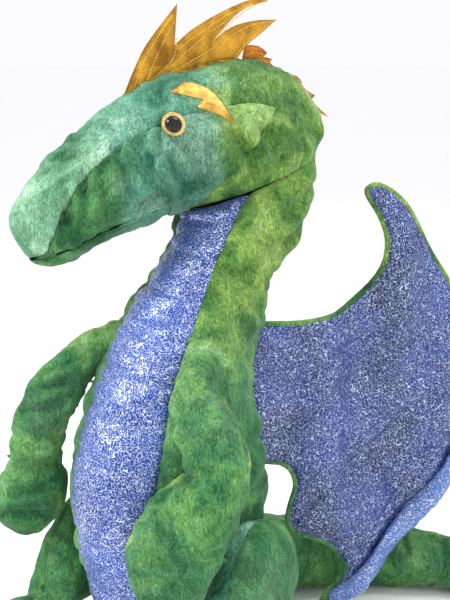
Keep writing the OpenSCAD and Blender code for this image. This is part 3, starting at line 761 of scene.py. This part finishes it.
def build_head():
    angles = []
    for i in range(len(HEAD_SEC)):
        low, high = mouth_angle(i), crown_from(i)
        angles.append(columns((low, 0), (high, NS), (360 - high, NC), (360 - low, NS)))
    coarse = to_head(rings(HEAD_SEC, np.array(angles)))
    grid, at = loft(coarse, 4.0)
    rows = len(grid)
    nose = int(np.argmax(at > 18.0))
    grid = puff(grid, [NS, NS + NC], np.r_[0:2, nose:rows], 1.6, 3.0, 12, 7)
    grid = refine(grid, False)
    at = smooth(at[:, None], 2)[:, 0]
    n = normals(grid, False)
    calm = np.clip((21 - at) / 4, 0.25, 1)[:, None] * np.clip(at / 1.5, 0, 1)[:, None]
    h = head_frame(grid)
    around_eye = np.exp(-(np.minimum(distance_to(h, [(94, 377, 42), (94, 377, 41)]),
                                     distance_to(h, [(94, 377, -42), (94, 377, -41)])) / 17) ** 2)
    calm = calm * (1 - 0.8 * around_eye)
    wrinkle = np.abs(ripple(grid * [1.3, 1.3, 0.9], 40, 21))
    grid = grid + n * ((wrinkle * 1.3 - 1.1 + ripple(grid, 80, 22, 1) * 0.7) * calm)[..., None]
    for line, width, deep in HEAD_FOLDS:
        for side in (1, -1):
            grid = crease(grid, n, from_head(np.array(line) * [1, 1, side]), width, 1.5 * deep)
    grid = grid - n * (3.4 * around_eye**3)[..., None]
    socket = np.clip(1 - np.abs(np.sqrt(-np.log(np.maximum(around_eye, 1e-9))) * 17 - 14) / 5, 0, 1)
    grid = grid + n * (1.4 * socket)[..., None]
    for c in (2 * NS, 2 * (NS + NC)):
        line = grid[:, c][:, None, :]
        d = np.linalg.norm(grid - line, axis=2)
        grid = grid - n * (1.1 * np.exp(-(d / 2.4) ** 2) * (at < 20)[:, None])[..., None]
    cross = int(np.argmax(at > 12))
    back = int(np.argmax(at > 6))
    for r, share in ((cross, 1.1), (back, 0.9)):
        d = np.linalg.norm(grid - grid[r][None], axis=2)
        on_side = np.zeros(grid.shape[1], bool)
        on_side[:2 * NS + 1] = True
        on_side[2 * (NS + NC):] = True
        grid = grid - n * (share * np.exp(-(d / 2.4) ** 2) * on_side)[..., None]
    n = normals(grid, False)
    point = grid[-1].mean(0) + unit(grid[-1].mean(0) - grid[-4].mean(0)) * 1.5
    grid = np.concatenate([grid, (grid[-1] * 0.5 + point * 0.5)[None],
                           np.broadcast_to(point, (1,) + grid[-1].shape)])
    n = np.concatenate([n, n[-1:], n[-1:]])
    at = np.concatenate([at, [at[-1] + 0.1, at[-1] + 0.2]])
    last, tip = len(grid) - 1, int(np.argmax(at > 19.6))
    a, b, c = 2 * NS, 2 * (NS + NC), 2 * (2 * NS + NC)
    pieces = {
        "crown_pile": ((0, last), (a, b), CROWN, "teal_plush", ["crown_panel", "head_stuffing"]),
        "left_temple_pile": ((0, back), (0, a), LIME, "green_plush", ["left_temple_panel"]),
        "left_cheek_pile": ((back, cross), (0, a), TEAL, "teal_plush", ["left_cheek_panel"]),
        "left_muzzle_pile": ((cross, tip), (0, a), DARK, "green_plush", ["left_muzzle_panel"]),
        "right_temple_pile": ((0, back), (b, c), LIME, "green_plush", ["right_temple_panel"]),
        "right_cheek_pile": ((back, cross), (b, c), TEAL, "teal_plush", ["right_cheek_panel"]),
        "right_muzzle_pile": ((cross, tip), (b, c), DARK, "green_plush", ["right_muzzle_panel"]),
    }
    for name, (rows_, cols, material, slot, nodes) in pieces.items():
        skin = patch(name, grid, n, rows_, cols, material, ends=(rows_[0] > 0, rows_[1] < last))
        declare(skin, nodes, body="head")
    return grid, n, at


def build_jaw():
    sec = HEAD_SEC[7:MOUTH_LAST + 1]
    rows = []
    for i, s in enumerate(sec):
        k = i + 7
        if k < MOUTH_FIRST:
            half = mouth_angle(k) + 3
            scale = 0.965
        else:
            half = math.degrees(math.acos(min((to_mouth(s) + 0.6) / s[9], 0.99)))
            scale = 1.0
        s = s.copy()
        s[9:11] *= scale
        a = np.linspace(-half, half, 25)
        rows.append(rings(s[None], a[None])[0])
    tip = rows[-1].mean(0) + np.array([0, -4.5, 1.5])
    rows.append(rows[-1] * 0.55 + tip * 0.45 + [0, -1.5, 0])
    rows.append(rows[-1] * 0.35 + tip * 0.65)
    grid, at = loft(to_head(np.array(rows)), 2.4)
    n = normals(grid, False)
    down = np.array([0, 0, -1.0])
    n = n if (n @ down).sum() > 0 else -n
    grid = grid + n * (np.abs(ripple(grid, 26, 41)) * 0.7 - 0.5)[..., None]
    skin = patch("jaw_pile", grid, n, (0, len(grid) - 1), (0, 24), DARK, 1.6)
    hinge = from_head((78, 318, 0)), from_head((112, 300, 0))
    declare(skin, ["jaw_skin", "jaw_stuffing"], ("head", "jaw", tuple(hinge[0] * MM), tuple(hinge[1] * MM)))
    return grid, at


def mouth_sheet(name, edge_a, edge_b, rise, material, body, nodes):
    """The lining between the two edges of the mouth, arched a little."""
    t = np.linspace(0, 1, 13)[None, :, None]
    g = edge_a[:, None] * (1 - t) + edge_b[:, None] * t
    g = g + np.array([0, 0, 1.0]) * (rise * np.sin(np.pi * t))
    obj = add_mesh(name, g.reshape(-1, 3), grid_faces(*g.shape[:2]), material)
    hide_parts(*nodes)
    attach(obj, body)


# ---- Limbs ----
def build_limb(name, stations, side, ends, seams, materials, joint, nodes, seed, folds=(), spacing=3.4,
               rough=1.0, size=46, sim=(1.8, 2.4)):
    sec = rounded(sections(stations, side), *ends)
    n_cols = 24
    angles = columns((seams[0], 0), (seams[0] + 180, n_cols), (seams[0] + 360, n_cols))[:-1]
    grid, _ = loft(rings(sec, angles), spacing)
    rows = len(grid)
    grid = puff(grid, [0, n_cols], np.r_[0:5, rows - 2:rows], sim[0], sim[1], 12, seed)
    grid = refine(grid, True)
    n = normals(grid, True)
    fade = np.clip(np.minimum(np.arange(len(grid)), len(grid) - 1 - np.arange(len(grid))) / 6, 0, 1)[:, None]
    wrinkle = np.abs(ripple(grid, size, seed + 30))
    rise = (wrinkle * rough - 0.85 * rough + ripple(grid, 60, seed + 31, 1) * 0.6) * fade
    grid = grid + n * rise[..., None]
    for line, width, deep in folds:
        grid = crease(grid, n, line, width, 1.5 * deep)
    grid = seam_pinch(grid, n, [0, 2 * n_cols], 1.3, 2.2, 0.25, seed + 7)
    n = normals(grid, True)
    last = len(grid) - 1
    for k, (piece, material, hidden) in enumerate(zip(name, materials, nodes)):
        cols = (0, 2 * n_cols) if k == 0 else (2 * n_cols, 4 * n_cols)
        declare(patch(piece, grid, n, (0, last), cols, material), hidden, joint)


def build_limbs():
    left_folds = [
        ([(56, -64, 176), (70, -69, 168), (84, -67, 158)], 3.6, 2.4),
        ([(60, -62, 192), (72, -64, 186), (86, -58, 178)], 3.8, 2.0),
        ([(66, -70, 142), (80, -70, 136), (92, -64, 130)], 3.8, 2.8),
        ([(58, -78, 150), (66, -75, 136), (64, -84, 124)], 4.0, 2.8),
        ([(76, -76, 128), (86, -77, 116), (94, -70, 106)], 4.2, 2.6),
        ([(46, -94, 96), (60, -98, 92), (74, -92, 84)], 4.2, 2.4),
        ([(60, -98, 74), (74, -92, 70), (88, -80, 70)], 4.0, 2.0),
        ([(70, -92, 104), (84, -82, 98), (96, -68, 92)], 3.8, 1.8),
        ([(88, -62, 170), (96, -50, 160), (104, -40, 150)], 3.6, 1.8),
        ([(86, -68, 148), (96, -58, 142), (104, -48, 134)], 3.6, 2.0),
    ]
    build_limb(("left_arm_front_pile", "left_arm_back_pile"), LEFT_ARM, ARM_SIDE, (16, 13), (0,),
               (GREEN, LIME),
               ("torso", "left_arm", (0.0535, -0.028, 0.214), (0.070, -0.050, 0.176)),
               (["left_arm_front_panel", "left_arm_stuffing"], ["left_arm_back_panel"]), 51, left_folds)
    right_folds = [
        ([(-52, -44, 204), (-62, -52, 200), (-72, -60, 196)], 3.6, 2.2),
        ([(-54, -52, 190), (-66, -62, 186), (-78, -66, 182)], 3.8, 2.4),
        ([(-60, -56, 172), (-70, -68, 168), (-84, -74, 164)], 3.8, 2.2),
        ([(-64, -54, 150), (-74, -70, 148), (-88, -78, 146)], 4.0, 2.4),
        ([(-66, -56, 128), (-76, -74, 126), (-90, -80, 122)], 4.0, 2.6),
        ([(-64, -60, 108), (-76, -74, 108), (-88, -80, 104)], 3.8, 2.2),
        ([(-72, -66, 88), (-84, -76, 90), (-96, -82, 88)], 3.6, 1.8),
    ]
    build_limb(("right_arm_front_pile", "right_arm_back_pile"), RIGHT_ARM, ARM_SIDE, (15.5, 15), (0,),
               (GREEN, LIME),
               ("torso", "right_arm", (-0.053, -0.026, 0.216), (-0.072, -0.043, 0.180)),
               (["right_arm_front_panel", "right_arm_stuffing"], ["right_arm_back_panel"]), 61, right_folds)
    build_limb(("left_leg_outer_pile", "left_leg_inner_pile"), LEFT_LEG, unit(np.array([0.94, 0.34, 0])),
               (46, 15),
               (0,), (GREEN, DARK),
               ("torso", "left_leg", (0.071, 0.020, 0.055), (0.083, -0.018, 0.044)),
               (["left_leg_outer_panel", "left_leg_stuffing"], ["left_leg_inner_panel"]), 71)
    build_limb(("right_leg_inner_pile", "right_leg_outer_pile"), RIGHT_LEG, unit(np.array([1, -0.1, 0])),
               (46, 15),
               (0,), (DARK, GREEN),
               ("torso", "right_leg", (-0.076, 0.008, 0.055), (-0.076, -0.032, 0.040)),
               (["right_leg_inner_panel", "right_leg_stuffing"], ["right_leg_outer_panel"]), 81)
    tail_folds = [
        ([(30, 140, 56), (44, 160, 54), (66, 168, 48)], 4.0, 2.4),
        ([(60, 176, 52), (74, 186, 50), (84, 182, 36)], 4.0, 2.2),
        ([(100, 196, 44), (108, 200, 40), (112, 194, 24)], 3.8, 2.0),
        ([(136, 208, 34), (142, 208, 30), (146, 204, 18)], 3.4, 1.8),
        ([(120, 204, 40), (126, 204, 34), (128, 196, 22)], 3.4, 1.6),
    ]
    build_limb(("tail_right_pile", "tail_left_pile"), TAIL, np.array([0, 0, 1.0]), (32, 8), (-90,),
               (GREEN, GREEN),
               ("torso", "tail", (0, 0.092, 0.034), (0.003, 0.128, 0.033)),
               (["tail_right_panel", "tail_stuffing"], ["tail_left_panel"]), 91, tail_folds, 3.6)


# ---- Flat pieces: outlines filled with an even net ----
def fill_outline(outline, spacing):
    """Points and triangles inside a closed outline; the first points are the outline's own."""
    edge = []
    n = len(outline)
    for i in range(n):
        a, b = np.array(outline[i], float), np.array(outline[(i + 1) % n], float)
        k = max(int(np.linalg.norm(b - a) / spacing), 1)
        edge += [a + (b - a) * t / k for t in range(k)]
    edge = np.array(edge)
    low, high = edge.min(0), edge.max(0)
    inside = []
    for r, y in enumerate(np.arange(low[1], high[1], spacing * 0.87)):
        for x in np.arange(low[0] + (r % 2) * spacing / 2, high[0], spacing):
            inside.append((x, y))
    inside = np.array(inside)
    near = np.full(len(inside), 1e9)
    odd = np.zeros(len(inside), bool)
    for a, b in zip(edge, np.roll(edge, -1, 0)):
        d = b - a
        t = np.clip(((inside - a) @ d) / (d @ d), 0, 1)
        near = np.minimum(near, np.linalg.norm(inside - a - t[:, None] * d, axis=1))
        hit = (a[1] > inside[:, 1]) != (b[1] > inside[:, 1])
        x = a[0] + (inside[:, 1] - a[1]) / np.where(b[1] == a[1], 1e-9, b[1] - a[1]) * d[0]
        odd ^= hit & (inside[:, 0] < x)
    inside = inside[odd & (near > spacing * 0.55)]
    near = near[odd & (near > spacing * 0.55)] if False else None
    points = np.vstack([edge, inside])
    ring = [(i, (i + 1) % len(edge)) for i in range(len(edge))]
    vs, _, faces, _, _, _ = delaunay_2d_cdt([Vector(p) for p in points], ring, [], 1, 1e-6)
    return np.array([(v.x, v.y) for v in vs]), [list(f) for f in faces], len(edge)


def edge_distance(p, outline):
    line = np.array(list(outline) + [outline[0]], float)
    return distance_to(p, line)


def rounded_outline(points, corners, n=4):
    """A smooth outline through points that keeps the corners with these numbers sharp."""
    points = [np.array(p, float) for p in points]
    corners = sorted(corners)
    out = []
    for a, b in zip(corners, corners[1:] + [corners[0] + len(points)]):
        run = [points[k % len(points)] for k in range(a, b + 1)]
        out += list(smooth(run, n)[:-1]) if len(run) > 2 else [run[0]]
    return np.array(out)


CREST_FRONT = [
    (112, 396), (115, 397), (108, 414), (97, 435), (72, 465), (74, 434), (60, 446), (35, 460),
    (11, 469), (-4, 468), (15, 463), (28, 454), (42, 438), (28, 448), (9, 453), (-11, 454),
    (2, 444), (15, 434), (24, 422.5), (35, 421.5), (60, 416), (78, 410), (97, 403),
]
CREST_LOBES = [
    (18, 423.5), (15, 434), (4, 434), (-3, 429), (0, 426), (-8, 424), (-6, 421), (-15, 415), (-5, 418),
    (6, 421.5),
]
CREST_NAPE = [
    (-24, 412), (-29, 411), (-33, 407), (-35, 402), (-45, 396), (-43, 391), (-57, 379), (-48, 383),
    (-46, 386),
    (-38, 399),
]


def fin(name, outline, corners, material, node, lines, sway):
    """A stitched gold piece: two layers, fullest between the stitch lines, standing on the head's middle."""
    edge = rounded_outline(outline, corners)
    base = np.array(outline, float)
    p, faces, count = fill_outline(edge, 2.2)
    d = edge_distance(p, edge)
    thick = 0.35 + 1.5 * (1 - np.exp(-d / 2.2)) + 0.25 * ripple(np.c_[p, 0 * d], 14, 5,
                                                                1) * (1 - np.exp(-d / 3))
    for line in lines:
        thick -= 0.75 * np.exp(-(distance_to(p, smooth(line, 6)) / 1.3) ** 2)
    rise = np.clip((p[:, 1] - base[:, 1].min()) / 70, 0, 1)
    bend = sway * rise**2 + 1.2 * np.sin(p[:, 0] / 15) * rise
    thick = np.maximum(thick, 0.35)
    both = np.vstack([np.c_[p, bend + thick], np.c_[p, bend - thick]])
    k = len(p)
    sides = [[i, (i + 1) % count, (i + 1) % count + k, i + k] for i in range(count)]
    obj = add_mesh(name, from_head(both), faces + [[v + k for v in f][::-1] for f in faces] + sides, material)
    declare(obj, [node], body="head")
    for i, line in enumerate(lines):
        q = smooth(line, 8)
        r = np.clip((q[:, 1] - base[:, 1].min()) / 70, 0, 1)
        for side, tag in ((1, "left"), (-1, "right")):
            off = sway * r**2 + 1.2 * np.sin(q[:, 0] / 15) * r + side * 1.35
            stitches(f"{name}_stitch_{i + 1}_{tag}", from_head(np.c_[q, off]), "head", YELLOW_THREAD,
                     length=1.9, gap=0.5, radius=0.34)


def build_crest():
    lines = [
        [(110, 391), (104, 412), (94, 432), (76, 457)], [(98, 406), (92, 420), (84, 436), (75, 452)],
        [(72, 431), (58, 441), (34, 456), (10, 466)], [(40, 437), (30, 450), (17, 460), (4, 466.5)],
        [(78, 418), (64, 430), (46, 444), (26, 457)], [(38, 433), (26, 443), (10, 450), (-4, 452.5)],
        [(26, 425), (18, 434), (8, 443), (-4, 451)], [(88, 409), (66, 420), (44, 432), (34, 441)],
        [(106, 396), (90, 411), (76, 424), (72, 440)],
    ]
    fin("gold_crest", CREST_FRONT, [0, 4, 5, 9, 12, 15, 18], GOLD, "crest_front", lines, 2.0)
    fin("orange_lobes", CREST_LOBES, [0, 2, 4, 5, 7], ORANGE, "crest_lobes",
        [[(15, 427), (8, 429), (1, 427.5)], [(8, 424), (0, 422.5), (-6, 419)]], 0.5)
    fin("nape_spikes", CREST_NAPE, [0, 4, 6], GOLD, "crest_nape",
        [[(-30, 408), (-37, 400), (-42, 396)], [(-42, 392), (-48, 386), (-53, 382)]], 0.3)


# ---- Brows, projected on to the head ----
# Two teeth point forwards, one hangs below, and a long point sweeps back to the temple
BROW = [
    (86, 411), (96, 403), (84, 400), (69, 396), (74, 390), (58, 384), (44, 376), (52, 390), (62, 402),
    (75, 409),
]


def build_brow(side, tree):
    name = "left_brow_gold" if side > 0 else "right_brow_gold"
    edge = rounded_outline(BROW, [0, 1, 3, 4, 6])
    p, faces, count = fill_outline(edge, 1.8)
    d = edge_distance(p, edge)
    look = unit(np.array([0.4185, 0.139, 0.8975]))
    start = np.c_[p, np.full(len(p), 42.0)] + look * 60
    hits = []
    for q in start:
        a = from_head(q * [1, 1, side])
        b = from_head((q - look * 10) * [1, 1, side])
        way = unit(b - a)
        hit = tree.ray_cast(Vector(a), Vector(way))
        hits.append((np.array(hit[0]), np.array(hit[1])) if hit[0] else (None, None))
    good = [h for h in hits if h[0] is not None]
    middle = np.mean([h[0] for h in good], 0)
    spots = np.array([h[0] if h[0] is not None else middle for h in hits])
    out = np.array([h[1] if h[1] is not None else good[0][1] for h in hits])
    out = unit(out * np.sign((out @ np.mean(out, 0)))[:, None] + 0.6 * np.mean(out, 0))
    lift = 0.8 + 1.7 * (1 - np.exp(-d / 1.8))
    lines = [[(91, 403), (84, 405.5), (74, 405), (66, 401)], [(72, 393), (62, 389), (54, 384.5)],
             [(64, 399.5), (58, 393), (52, 385)], [(84, 402), (74, 400.5), (66, 397)]]
    for line in lines:
        lift -= 0.8 * np.exp(-(distance_to(p, smooth(line, 6)) / 1.1) ** 2)
    top = spots + out * lift[:, None]
    low = spots - out * 0.8
    k = len(p)
    sides = [[i, (i + 1) % count, (i + 1) % count + k, i + k] for i in range(count)]
    obj = add_mesh(name, np.vstack([top, low]), faces + [[v + k for v in f][::-1] for f in faces] + sides,
                   PALE_GOLD)
    declare(obj, ["left_brow" if side > 0 else "right_brow"], body="head")
    for i, line in enumerate(lines):
        q = smooth(line, 5)
        near = [int(np.argmin(np.linalg.norm(p - w, axis=1))) for w in q]
        pts = smooth(top[near][::3] + out[near][::3] * 0.2, 4)
        stitches(f"{name}_stitch_{i + 1}", pts, "head", YELLOW_THREAD, length=1.7, gap=0.5,
                 radius=0.32)


# ---- Eyes ----
def build_eyes():
    for tag in ("left", "right"):
        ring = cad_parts[f"{tag}_iris_ring"]
        dome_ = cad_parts[f"{tag}_eye_dome"]
        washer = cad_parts[f"{tag}_eye_washer"]
        for obj, material in ((ring, GLITTER), (dome_, BLACK), (washer, FILLING)):
            for k in range(max(len(obj.material_slots), 1)):
                if obj.material_slots:
                    obj.material_slots[k].material = material
                else:
                    obj.data.materials.append(material)
            obj.data.polygons.foreach_set("use_smooth", [True] * len(obj.data.polygons))


# ---- Wings ----
WING_OUTLINE = [
    (1, 228), (28, 227), (57, 232), (82, 247), (96, 266), (99, 287), (93, 306), (84, 320),
    (83, 327), (92, 330), (107, 321), (124, 300), (142, 273), (158, 248), (171, 217), (177, 180),
    (173, 140), (158, 108), (115, 57), (80, 23), (62, 6), (48, 6), (60, 22), (66, 31), (61, 41),
    (51, 52), (34, 59), (24, 64), (19, 73), (21, 85), (25, 100), (21, 112), (12, 118), (1, 122),
]
WING_LINES = [
    [(3, 171), (40, 190), (75, 208), (103, 225)], [(4, 140), (50, 165), (95, 195), (137, 223)],
    [(22, 73), (53, 102), (95, 131), (138, 167)], [(134, 223), (136, 190), (136, 158), (128, 120)],
    [(30, 224), (60, 207), (95, 190), (120, 178)], [(108, 318), (122, 290), (136, 258), (150, 226)],
    [(66, 34), (92, 62), (122, 96), (150, 130)],
]
ROLL = [[166, -9, 131, 6, 4.5], [154, -9, 109, 7, 5], [112, -9, 59, 7, 5], [77, -9, 25, 7, 5],
        [56, -9, 10, 6, 4.5]]


def wing_place(p, side):
    """Wing points (distance from the hinge, towards the back, height) in the row frame."""
    d, t, z = p[..., 0], p[..., 1], p[..., 2]
    x = 33 + d * 0.5 - t * 0.866
    return np.stack([side * x, 66 + d * 0.866 + t * 0.5, z], -1)


def billow(p):
    """How far the whole wing waves backwards at a point of its outline plane."""
    d, z = p[:, 0], p[:, 1]
    free = np.clip(d / 60, 0, 1)
    wave = 5.6 * np.sin(d / 15 + z / 80) + 2.6 * np.sin(d / 8 - z / 70 + 1) + 1.4 * np.sin(z / 24 + d / 40)
    return wave * free * 0.9


def build_wing(side):
    tag = "left" if side > 0 else "right"
    edge = rounded_outline(WING_OUTLINE, [0, 20, 21, 33], 3)
    p, faces, count = fill_outline(edge, 3.2)
    d = edge_distance(p, edge)
    puffed = 1 - np.exp(-d / 5)
    p[:, 0] -= 14 * np.clip(1 - p[:, 0] / 16, 0, 1) * (p[:, 1] > 119)
    groove = np.zeros(len(p))
    for line in WING_LINES:
        groove += np.exp(-(distance_to(p, smooth(line, 6)) / 3.0) ** 2)
    groove = np.minimum(groove, 1.1)
    fine = ripple(np.c_[p, 0 * d], 26, 70, 2)
    wave = billow(p)
    front = wave - 1.6 - 3.0 * puffed + 2.6 * groove * puffed + 0.8 * fine * puffed
    back = wave + 1.6 + 2.6 * puffed - 1.9 * groove * puffed + 0.6 * fine * puffed
    middle = edge.mean(0)
    inset = p + 0
    rim_dir = unit(np.roll(p[:count], -1, 0) - np.roll(p[:count], 1, 0))
    out = np.stack([rim_dir[:, 1], -rim_dir[:, 0]], 1)
    if ((out * (p[:count] - middle)).sum() < 0):
        out = -out
    inset[:count] -= out * 1.6
    # The front of the wing takes the darker copy of the lining, painted shade.
    lining = add_mesh(f"{tag}_wing_lining_quilt", wing_place(np.c_[inset[:, 0], front, inset[:, 1]], side),
                      faces if side > 0 else [f[::-1] for f in faces], SHADED_WING_LINING)
    hinge = ("torso", f"{tag}_wing", tuple(wing_place(np.array([0, 0, 170.0]), side) * MM),
             tuple(wing_place(np.array([34, 0, 170.0]), side) * MM))
    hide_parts(f"{tag}_wing_lining", f"{tag}_wing_padding")
    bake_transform(lining)
    ring = np.arange(count)
    loops, base = [], np.c_[p[:, 0], back, p[:, 1]]
    rim_wave = wave[ring]
    for grow, t in ((0.9, 1.3), (1.3, 0.0), (1.0, -1.4), (-0.4, -2.3), (-2.2, -1.9)):
        q = p[:count] + out * grow
        loops.append(np.c_[q[:, 0], rim_wave + t, q[:, 1]])
    verts = np.vstack([base] + loops)
    strips, prev = [], ring
    for k in range(len(loops)):
        now = len(base) + k * count + ring
        strips += [[prev[i], prev[(i + 1) % count], now[(i + 1) % count], now[i]] for i in range(count)]
        prev = now
    shell = [f[::-1] for f in faces] + [s[::-1] for s in strips]
    if side < 0:
        shell = [f[::-1] for f in shell]
    pile = add_mesh(f"{tag}_wing_pile", wing_place(verts, side), shell, GREEN)
    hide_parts(f"{tag}_wing_back")
    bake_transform(pile)
    for k, line in enumerate(WING_LINES):
        q = smooth(line, 12)
        near = [int(np.argmin(np.linalg.norm(p - w, axis=1))) for w in q]
        y = np.interp(np.arange(len(q)), np.arange(len(q))[::4], front[near][::4])
        stitches(f"{tag}_wing_stitch_{k + 1}", wing_place(np.c_[q[:, 0], y - 0.25, q[:, 1]], side), None,
                 BLUE_THREAD,
                 blend=hinge)
    sec = rounded(sections(ROLL, [0, -1, 0]), 4, 4)
    grid, _ = loft(rings(sec, np.linspace(0, 360, 25)[:-1]), 2.6)
    lift = billow(grid[..., [0, 2]].reshape(-1, 2)).reshape(grid.shape[:2])
    n = normals(grid, True)
    grid = grid + n * (0.45 * np.abs(ripple(grid, 15, 77)))[..., None]
    grid[..., 1] += lift
    faces = grid_faces(*grid.shape[:2], closed=True)
    m = grid.shape[1]
    faces += [list(range(m))[::-1], [(len(grid) - 1) * m + j for j in range(m)]]
    # The roll takes the lighter copy of the lining, a painted highlight along the fold.
    band = add_mesh(f"{tag}_wing_band", wing_place(grid, side).reshape(-1, 3), faces, LIT_WING_BAND)
    band.data.update()
    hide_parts(f"{tag}_wing_rim_roll")
    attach(band, f"{tag}_wing")


def build_nape_flap():
    edge = rounded_outline([(0, -22), (0, 12), (4, 8), (10, -8), (4, -12)], [0, 1, 3])
    p, faces, count = fill_outline(edge, 1.6)
    d = edge_distance(p, edge)
    thick = 0.4 + 1.1 * (1 - np.exp(-d / 1.6))
    t = math.radians(6)
    y = 143.4 + p[:, 0] * math.cos(t) - p[:, 1] * math.sin(t)
    z = 321 + p[:, 0] * math.sin(t) + p[:, 1] * math.cos(t)
    k = len(p)
    verts = np.vstack([np.c_[thick, y, z], np.c_[-thick, y, z]])
    sides = [[i, (i + 1) % count, (i + 1) % count + k, i + k] for i in range(count)]
    obj = add_mesh("nape_flap_pile", verts, faces + [[v + k for v in f][::-1] for f in faces] + sides, GREEN)
    declare(obj, ["nape_flap"], body="torso")


# ---- Studio ----
def build_studio():
    scene = bpy.context.scene
    world = bpy.data.worlds.new("studio")
    scene.world = world
    world.use_nodes = True
    back = world.node_tree.nodes["Background"]
    back.inputs["Color"].default_value = (0.985, 0.98, 1.0, 1)
    back.inputs["Strength"].default_value = 0.99
    mesh = bpy.data.meshes.new("floor")
    r = 60.0
    mesh.from_pydata([(-r, -r, 0), (r, -r, 0), (r, r, 0), (-r, r, 0)], [], [(0, 1, 2, 3)])
    floor = bpy.data.objects.new("floor", mesh)
    scene.collection.objects.link(floor)
    m = Nodes("floor_paper", True)
    floor.data.materials.append(m.finish(m.mix(m.noise(3, 2, 0.5), (0.972, 0.972, 0.98),
                                               (0.985, 0.985, 0.99)), 0.9))

    def light(name, at, aim, size, power):
        data = bpy.data.lights.new(name, "AREA")
        data.energy, data.size = power, size
        obj = bpy.data.objects.new(name, data)
        scene.collection.objects.link(obj)
        obj.location = at
        obj.rotation_euler = (Vector(aim) - Vector(at)).to_track_quat("-Z", "Y").to_euler()

    light("key", (-0.8, -1.2, 1.6), (0, 0, 0.25), 0.6, 26)
    light("fill", (1.8, -0.7, 0.8), (0, 0, 0.22), 1.2, 3)
    light("top", (0.3, 0.6, 1.8), (0, 0, 0.3), 0.9, 12)

    az, el, away = math.radians(40), math.radians(8), 1.3
    target = Vector((0.029, 0.024, 0.249))
    out = Vector((math.sin(az) * math.cos(el), -math.cos(az) * math.cos(el), math.sin(el)))
    cam = bpy.data.cameras.new("camera")
    cam.lens, cam.sensor_width = LENS_MM, SENSOR_MM
    cam.clip_end = 50
    obj = bpy.data.objects.new("camera", cam)
    scene.collection.objects.link(obj)
    obj.location = target + out * away
    obj.rotation_euler = (-out).to_track_quat("-Z", "Y").to_euler()
    scene.camera = obj
    scene.view_settings.view_transform = "Standard"


def main():
    build_torso()
    build_seat()
    grid, n, at = build_head()
    tree = BVHTree.FromPolygons([Vector(p) for p in grid.reshape(-1, 3)], grid_faces(*grid.shape[:2]))
    for side in (1, -1):
        build_brow(side, tree)
    jaw, jaw_at = build_jaw()
    a, b = int(np.argmax(at > 9.4)), int(np.argmax(at > 19.0))
    n_in = n * 1.5
    mouth_sheet("palate_lining", (grid - n_in)[a:b, 0], (grid - n_in)[a:b, -1], 3, DARK, "head",
                ["palate_panel"])
    j0 = int(np.argmax(jaw_at > 2.6))
    mouth_sheet("jaw_lining_pile", jaw[j0:-2, 1], jaw[j0:-2, -2], -2, DARK, "jaw", ["jaw_lining"])
    build_crest()
    build_eyes()
    build_limbs()
    for side in (1, -1):
        build_wing(side)
    build_nape_flap()
    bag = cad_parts["pellet_bag"]
    for s in bag.material_slots:
        s.material = FILLING
    build_studio()


main()
